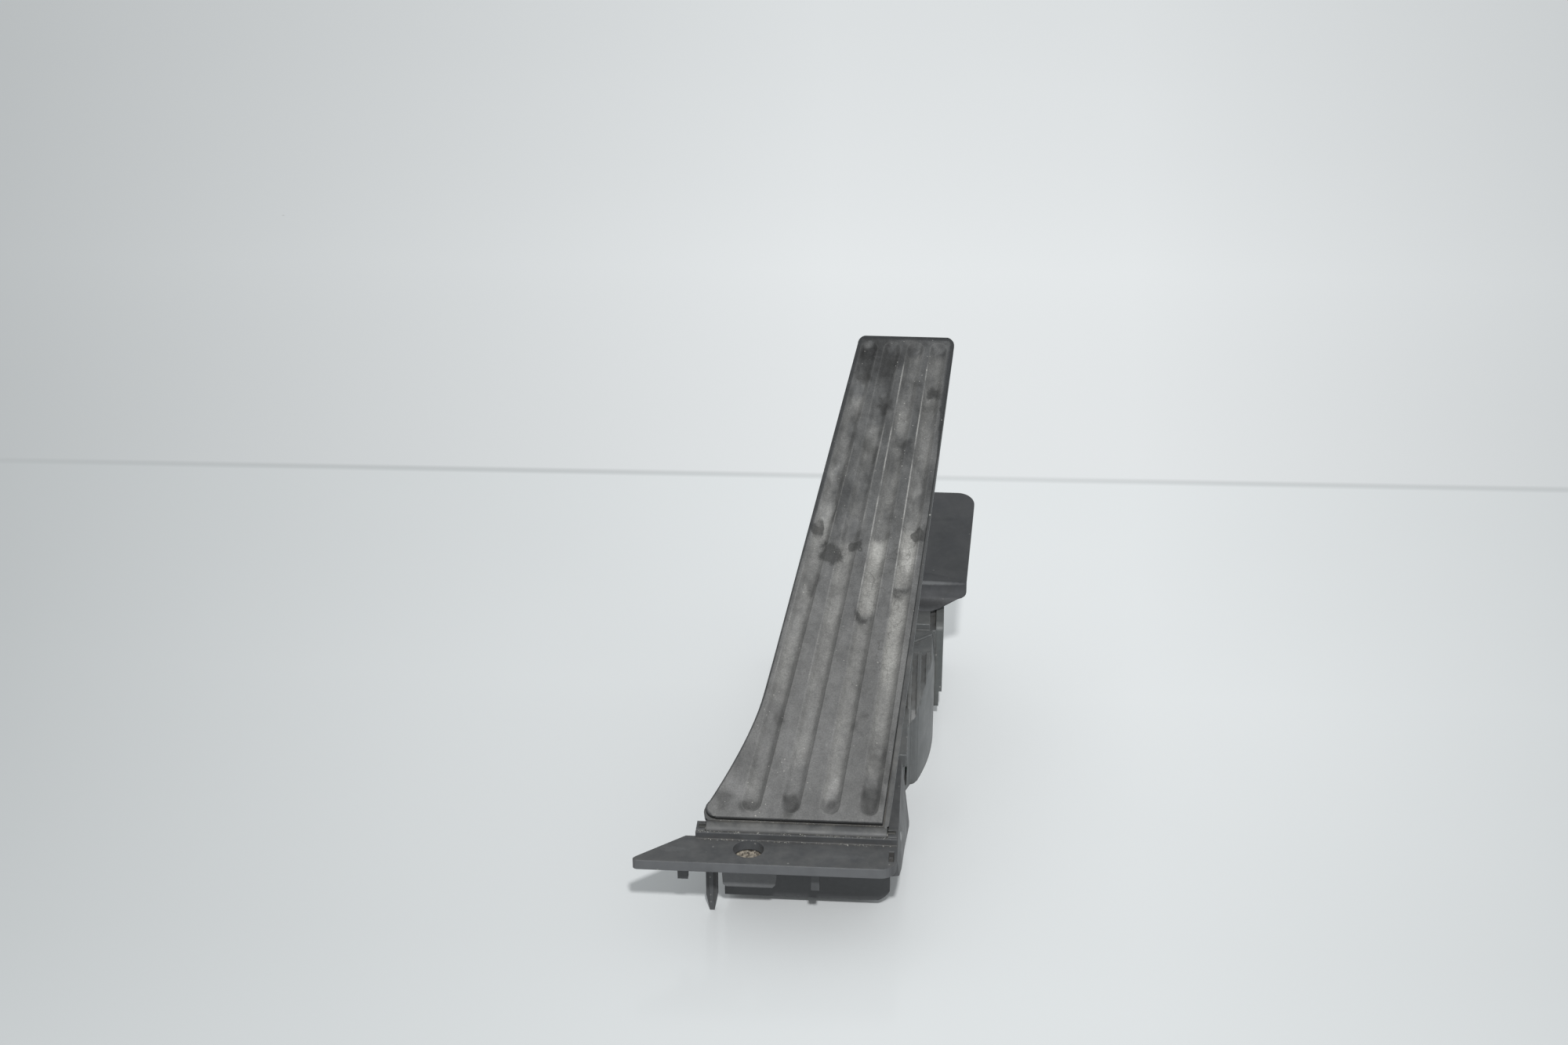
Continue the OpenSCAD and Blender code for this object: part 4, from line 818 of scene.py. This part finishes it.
def build_side_panel(material):
    """Sloping panel with a round bend and a steep flap below it, and countersunk screw holes."""
    # Each station: place on the outer face, direction out of it, right edge
    stations = []
    turns = [math.radians(g) for g in range(0, 91, 9)]
    corner = [PANEL_LEN - PANEL_CORNER_R * (1 - math.cos(g)) for g in turns]
    for u in corner + [PANEL_LEN - PANEL_CORNER_R - 10, 40, 25, BEND_U]:
        stations.append(((u, PANEL_THICK), (0.0, 1.0), panel_right(u)))
    outer = BEND_R + PANEL_THICK
    for k in range(1, 9):
        g = BEND_ANGLE * k / 8
        place = (BEND_U - outer * math.sin(g), PANEL_THICK - outer * (1 - math.cos(g)))
        stations.append((place, (-math.sin(g), math.cos(g)), panel_right(BEND_U)))
    (u0, w0), normal, _ = stations[-1]
    down = (-math.cos(BEND_ANGLE), -math.sin(BEND_ANGLE))
    for d in FLAP_ROWS:
        stations.append(((u0 + down[0] * d, w0 + down[1] * d), normal, flap_right(d)))
    vertices = []
    for (u, w), (nu, nw), right in stations:
        for depth in (0, PANEL_THICK):
            for x in (PANEL_LEFT, right):
                vertices.append(panel_point(x, u - nu * depth, w - nw * depth))
    faces = [(0, 2, 3, 1)]
    for k in range(len(stations) - 1):
        a, b = 4 * k, 4 * k + 4
        faces += [(a, a + 1, b + 1, b), (a + 2, b + 2, b + 3, a + 3),
                  (a, b, b + 2, a + 2), (a + 1, a + 3, b + 3, b + 1)]
    last = 4 * (len(stations) - 1)
    faces.append((last, last + 1, last + 3, last + 2))
    piece = mesh_object("side_panel", vertices, faces, material)
    turn = Euler((PANEL_SLOPE, 0, 0)).to_matrix().to_4x4()
    cutters = []
    for k, (x, u) in enumerate(PANEL_SCREWS):
        bm = bmesh.new()
        add_cone(bm, panel_point(x, u, 0), turn, SHANK_R, SHANK_R, 12)
        add_cone(bm, panel_point(x, u, PANEL_THICK - 0.8), turn, SHANK_R, SINK_R, SINK_DEPTH)
        cutter_mesh = bpy.data.meshes.new(f"cutter_{k}")
        bm.to_mesh(cutter_mesh)
        bm.free()
        cutters.append(linked(f"cutter_{k}", cutter_mesh))
        cut = piece.modifiers.new(f"hole_{k}", "BOOLEAN")
        cut.object = cutters[k]
        cut.operation = "DIFFERENCE"
        cut.use_self = True
    bevel = piece.modifiers.new("edges", "BEVEL")
    bevel.width = PANEL_EDGE_R * MM
    bevel.segments = 2
    bevel.limit_method = "ANGLE"
    bevel.angle_limit = math.radians(50)
    baked_mesh(piece)
    for cutter in cutters:
        bpy.data.objects.remove(cutter)
    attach(piece, "base")
    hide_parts("side_plate")


FULL_TURN = 6.28


def crumbs(name, body, places, material, seed):
    """Many small angular grains, each at (point in mm, size in mm)."""
    draw = random.Random(seed)
    bm = bmesh.new()
    for point, size in places:
        turn = Euler([draw.uniform(0, FULL_TURN) for _ in range(3)]).to_matrix().to_4x4()
        shape = Matrix.Diagonal([size * MM * draw.uniform(0.6, 1.2) for _ in range(3)] + [1])
        matrix = Matrix.Translation(Vector(point) * MM) @ turn @ shape
        made = bmesh.ops.create_icosphere(bm, subdivisions=1, radius=0.5, matrix=matrix)
        for vertex in made["verts"]:
            vertex.co += Vector([draw.uniform(-1, 1) for _ in range(3)]) * size * MM * 0.1
    mesh = bpy.data.meshes.new(name)
    bm.to_mesh(mesh)
    bm.free()
    mesh.materials.append(material)
    piece = linked(name, mesh)
    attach(piece, body)


RIB_GRAINS = 420
GAP_GRAINS = 160
FOOT_GRAINS = 260
RIB_X = (-21, 56)
RIB_Y = (6.2, 7.6)
RIB_TOP = 2.9
GAP_X = (-21, 58)
GAP_Y = 6.1
FOOT_X = (-14, 54)
GRAIN_RISE = 0.2


def build_grit(material, heap_material):
    """Grit on the cross rib and behind it, on the pedal's foot, and in the screw hole's pocket."""
    draw = random.Random(11)
    on_rib = []
    for _ in range(RIB_GRAINS):
        x = draw.uniform(*RIB_X)
        if noise.noise(Vector((x * 0.25, 0, 0))) + draw.uniform(-0.35, 0.35) > -0.05:
            size = draw.uniform(0.12, 0.45)
            on_rib.append(((x, draw.uniform(*RIB_Y), RIB_TOP + size * GRAIN_RISE), size))
    for _ in range(GAP_GRAINS):
        size = draw.uniform(0.15, 0.5)
        place = (draw.uniform(*GAP_X), GAP_Y - abs(draw.gauss(0, 0.5)), size * GRAIN_RISE)
        on_rib.append((place, size))
    crumbs("rib_grit", "base", on_rib, material, 3)
    on_foot = []
    for _ in range(FOOT_GRAINS):
        a = FOOT_A + draw.uniform(0.1, 1.2)
        size = draw.uniform(0.1, 0.35)
        place = pad_point(draw.uniform(*FOOT_X), a, PLATE_TOP + size * GRAIN_RISE) / MM
        on_foot.append((place, size))
    crumbs("foot_grit", "pedal", on_foot, material, 5)
    build_heap(heap_material)


HEAP_FLOOR_Z = -9.0
HEAP_RISE = 3.7
HEAP_FRONT_Y = 3.4
HEAP_STEPS = 34
POCKET_R = 7.95


def build_heap(material):
    """Grit heaped against the back of the pocket under the screw hole."""
    steps = HEAP_STEPS
    vertices, faces = [], []
    for layer in (1, 0):
        for j in range(steps + 1):
            y = HEAP_FRONT_Y + (POCKET_R - HEAP_FRONT_Y) * j / steps
            half = math.sqrt(max(POCKET_R ** 2 - y ** 2, 0.0001))
            for i in range(steps + 1):
                x = half * (2 * i / steps - 1)
                coarse = noise.noise(Vector((x * 1.3, y * 1.3, 0))) * 0.5
                rough = coarse + noise.noise(Vector((x * 4, y * 4, 7))) * 0.25
                rise = HEAP_RISE * smooth(3.3, 6.4, y) + rough * smooth(3.4, 4.4, y)
                rise = max(rise, 0.05)
                vertices.append(Vector((x, y, HEAP_FLOOR_Z + layer * rise)) * MM)
    row = steps + 1
    layer_size = row * row
    for j in range(steps):
        for i in range(steps):
            a = j * row + i
            b = layer_size + a
            faces.append((a, a + 1, a + row + 1, a + row))
            faces.append((b, b + row, b + row + 1, b + 1))
    edge = list(range(row)) + [j * row + steps for j in range(1, row)]
    edge += [steps * row + i for i in range(steps - 1, -1, -1)]
    edge += [j * row for j in range(steps - 1, 0, -1)]
    for k, index in enumerate(edge):
        after = edge[(k + 1) % len(edge)]
        faces.append((after, index, layer_size + index, layer_size + after))
    heap = mesh_object("hole_grit", vertices, faces, material)
    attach(heap, "base")


# ---------------------------------------------------------------- stage

def add_camera():
    data = bpy.data.cameras.new("camera")
    data.sensor_width = SENSOR_MM
    data.lens = SENSOR_MM * FOCAL_PX / IMAGE_W
    data.clip_end = 30
    cam = linked("camera", data)
    cam.location = CAMERA_POS
    cam.rotation_euler = Euler((math.pi / 2 - CAMERA_PITCH, 0, CAMERA_TURN))
    bpy.context.scene.camera = cam


def add_flash():
    data = bpy.data.lights.new("flash", "AREA")
    data.shape = "DISK"
    data.size = FLASH_SIZE
    data.energy = FLASH_POWER
    lamp = linked("flash", data)
    lamp.location = FLASH_POS
    lamp.rotation_euler = (FLASH_AIM - FLASH_POS).to_track_quat("-Z", "Y").to_euler()


def add_floor():
    """Pale, slightly glossy panels with a joint behind the pedal."""
    t = Tree("floor")
    place = t.node("ShaderNodeSeparateXYZ", {0: t.coords}).outputs
    joint_y = t.math("MULTIPLY", place[0], FLOOR_JOINT_SLOPE)
    behind = t.math("SUBTRACT", t.math("SUBTRACT", place[1], FLOOR_JOINT_Y), joint_y)
    base = t.mix(t.ramp(t.noise(2.2, 3), 0.3, 0.7), (0.865, 0.885, 0.89), (0.90, 0.918, 0.922))
    base = t.mix(t.ramp(behind, -0.0005, 0.0005, 0, 0.6), base, (0.89, 0.893, 0.896))
    # Darker at the sides and close in front, as the flash falls off there
    off_centre = t.math("ABSOLUTE", t.math("SUBTRACT", place[0], 0.10))
    aside = t.ramp(t.math("DIVIDE", off_centre, t.math("ADD", place[1], 1.0)), 0.06, 0.42)
    base = t.over(base, (0.50, 0.52, 0.525), aside, 0.72)
    base = t.mix(t.ramp(place[1], 0.20, -0.12, 0, 0.8), base, (0.60, 0.62, 0.625))
    joint = t.ramp(t.math("ABSOLUTE", behind), 0.0052, 0.0012)
    base = t.over(base, (0.35, 0.37, 0.37), joint, t.ramp(t.noise(1.6, 1), 0.35, 0.65, 0.5, 0.15))
    base = t.over(base, (0.3, 0.3, 0.28), t.specks(28, 0.02, 0.035), 0.5)
    t.put("Base Color", base)
    # Painted light: the floor glows a little, and more beyond the joint
    t.put("Emission Color", (0.96, 0.99, 1.0, 1))
    glow = t.ramp(behind, -0.45, 0.35, 0.03, BACKDROP_GLOW)
    t.put("Emission Strength", t.math("MULTIPLY", glow, t.ramp(aside, 0, 1, 1, 0.45)))
    t.put("Roughness", 0.16)
    t.put("Specular IOR Level", 0.4)
    corners = [Vector((x * FLOOR_HALF, y * FLOOR_HALF, FLOOR_Z))
               for x, y in ((-1, -1), (1, -1), (1, 1), (-1, 1))]
    floor = mesh_object("floor", corners, [(0, 1, 2, 3)], t.material)


def add_world():
    world = bpy.data.worlds.new("world")
    world.use_nodes = True
    background = world.node_tree.nodes["Background"]
    background.inputs[0].default_value = (0.95, 0.985, 1.0, 1)
    background.inputs[1].default_value = ROOM_STRENGTH
    bpy.context.scene.world = world


# ---------------------------------------------------------------- making

add_camera()
add_world()
add_floor()
add_flash()
bpy.context.scene.view_settings.view_transform = "Standard"

SCUFF = (0.55, 0.56, 0.56)
RUBBED = (0.115, 0.118, 0.12)
LIT_FLANK = (0.14, 0.144, 0.147)
HINGE_END_DARK = (0.03, 0.03, 0.03)

# Spots on the plastics: centre, radii, colour, strength, how ragged
BASE_SPOTS = [
    ((61.6, 24.0, -7.0), (3.0, 7.0, 4.0), SCUFF, 1.0, 0.4),
    ((62.2, 32.0, -12.0), (3.0, 5.0, 4.0), SCUFF, 0.9, 0.4),
    ((-30.0, -2.0, 0.0), (14.0, 4.0, 2.0), RUBBED, 0.35, 0.6),
    ((40.0, -3.0, 0.0), (20.0, 3.0, 2.0), RUBBED, 0.3, 0.6),
    # Painted light over the base's sloping right flank, which faces the flash
    ((63.0, 35.0, -14.0), (4.5, 70.0, 30.0), LIT_FLANK, 0.75, 0.3),
    # Darker spots at both ends of the hinge
    ((-20.3, 11.5, 1.3), (3.2, 6.0, 6.0), HINGE_END_DARK, 0.85, 0.3),
    ((58.0, 11.5, 1.3), (3.2, 6.0, 6.0), HINGE_END_DARK, 0.6, 0.3),
]
DRUM_SPOTS = [
    ((60.0, 140.0, -10.0), (10.8, 70.0, 45.0), (0.062, 0.061, 0.057), 0.8, 0.12),
    ((62.0, 152.0, 10.5), (14.0, 26.0, 4.0), (0.07, 0.071, 0.072), 0.6, 0.3),
]
# Painted shade over the steep flap below the side panel's bend, and a painted highlight along the
# bend
BEND_SHADE_AND_HIGHLIGHT = [
    ((68.0, 179.0, 19.0), (45.0, 5.0, 8.6), (0.015, 0.016, 0.018), 0.95, 0.1),
    ((68.0, 182.4, 29.0), (45.0, 3.0, 2.3), (0.19, 0.195, 0.2), 0.85, 0.1),
]
COVER_SPOTS = [((76.0, 190.0, 0.0), (4.0, 60.0, 40.0), (0.085, 0.096, 0.094), 0.6, 0.2)]

FINISHES = {
    "base_plastic": moulded_plastic("base_plastic", (0.062, 0.064, 0.067), 0.46, dust=0.16,
                                    flange_front=0.5, spots=BASE_SPOTS),
    "pedal_plastic": moulded_plastic("pedal_plastic", (0.062, 0.064, 0.066), 0.5, dust=0.42,
                                     dust_by_y=(0.19, 0.03)),
    # Housing: its lighter edges are partly painted highlights on the ribs, and its dark hollows are
    # painted shade between them, with dirt
    "housing_plastic": moulded_plastic("housing_plastic", (0.108, 0.113, 0.114), 0.42,
                                       edge_radius=0.0009, dirt_and_shade=0.9, wear=0.9,
                                       dirt_and_shade_colour=(0.04, 0.036, 0.03), spots=DRUM_SPOTS),
    "plate_plastic": moulded_plastic("plate_plastic", (0.05, 0.052, 0.056), 0.4, edge_radius=0.0008,
                                     dust=0.08, dirt_and_shade=0.1, wear=0.25, spots=BEND_SHADE_AND_HIGHLIGHT),
    "lever_plastic": moulded_plastic("lever_plastic", (0.06, 0.062, 0.065), 0.45, dust=0.1,
                                     dirt_and_shade=0.2),
    "bush_plastic": moulded_plastic("bush_plastic", (0.5, 0.47, 0.38), 0.35, dust=0.05,
                                    dirt_and_shade=0.2, wear=0.0),
    "glide_plastic": moulded_plastic("glide_plastic", (0.62, 0.6, 0.53), 0.3, dust=0.05,
                                     dirt_and_shade=0.2, wear=0.0),
    "chip_plastic": moulded_plastic("chip_plastic", (0.03, 0.03, 0.032), 0.6, edge_radius=0.0002,
                                    dust=0.0, dirt_and_shade=0.0),
    "board": circuit_board(),
    "rubber_stop": soft_rubber("rubber_stop", (0.03, 0.03, 0.03)),
    "seal_rubber": soft_rubber("seal_rubber", (0.02, 0.02, 0.02)),
    "steel": metal("steel", (0.5, 0.5, 0.49), 0.3, (0.05, 1, 1)),
    "spring_steel": metal("spring_steel", (0.38, 0.38, 0.38), 0.34, (0.4, 1, 1), 0.3),
    "spring_steel_dull": metal("dull_steel", (0.13, 0.128, 0.12), 0.5, (0.05, 1, 1), 0.4),
    "magnet": metal("magnet", (0.2, 0.2, 0.21), 0.5, (1, 1, 1), 0.4),
    "terminal_brass": metal("terminal_brass", (0.75, 0.6, 0.3), 0.28, (1, 1, 0.1)),
}
NODE_FINISHES = {
    "base_plastic": ["base_bracket"],
    "pedal_plastic": ["pedal_plate", "guide_track"],
    "housing_plastic": ["sensor_housing", "sensor_cover"],
    "plate_plastic": ["side_plate"],
    "lever_plastic": ["drive_lever", "rotor"],
    "bush_plastic": ["left_bush", "right_bush"],
    "glide_plastic": ["glide_heads"],
    "chip_plastic": ["sensor_chips"],
    "board": ["sensor_board"],
    "rubber_stop": ["down_stop", "up_stop", "tread"],
    "seal_rubber": ["cover_seal"],
    "spring_steel_dull": ["hinge_pin"],
    "steel": ["side_plate_screws", "cover_screws", "lever_shaft", "retaining_ring", "cross_pin",
              "guide_screws"],
    "spring_steel": ["outer_spring", "inner_spring"],
    "magnet": ["rotor_magnet"],
    "terminal_brass": ["terminal_pins"],
}
for finish, node_names in NODE_FINISHES.items():
    for node_name in node_names:
        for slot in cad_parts[node_name].material_slots:
            slot.material = FINISHES[finish]

build_tread()
build_base_shell(FINISHES["base_plastic"])
build_cover_shell(moulded_plastic("cover_plastic", (0.105, 0.112, 0.111), 0.42, edge_radius=0.0009,
                                  spots=COVER_SPOTS))
# The block's face and cheeks: a lighter copy of the base plastic, for dust and painted light on
# them
build_block_face(moulded_plastic("block_dust_and_light_plastic", (0.105, 0.107, 0.11), 0.5, dust=0.1, dirt_and_shade=0.1))
build_side_panel(FINISHES["plate_plastic"])
build_grit(loose_grit("pale_grit", (0.09, 0.088, 0.08), (0.42, 0.415, 0.39)),
           loose_grit("brown_grit", (0.07, 0.06, 0.05), (0.32, 0.285, 0.23)))

bpy.context.view_layer.update()
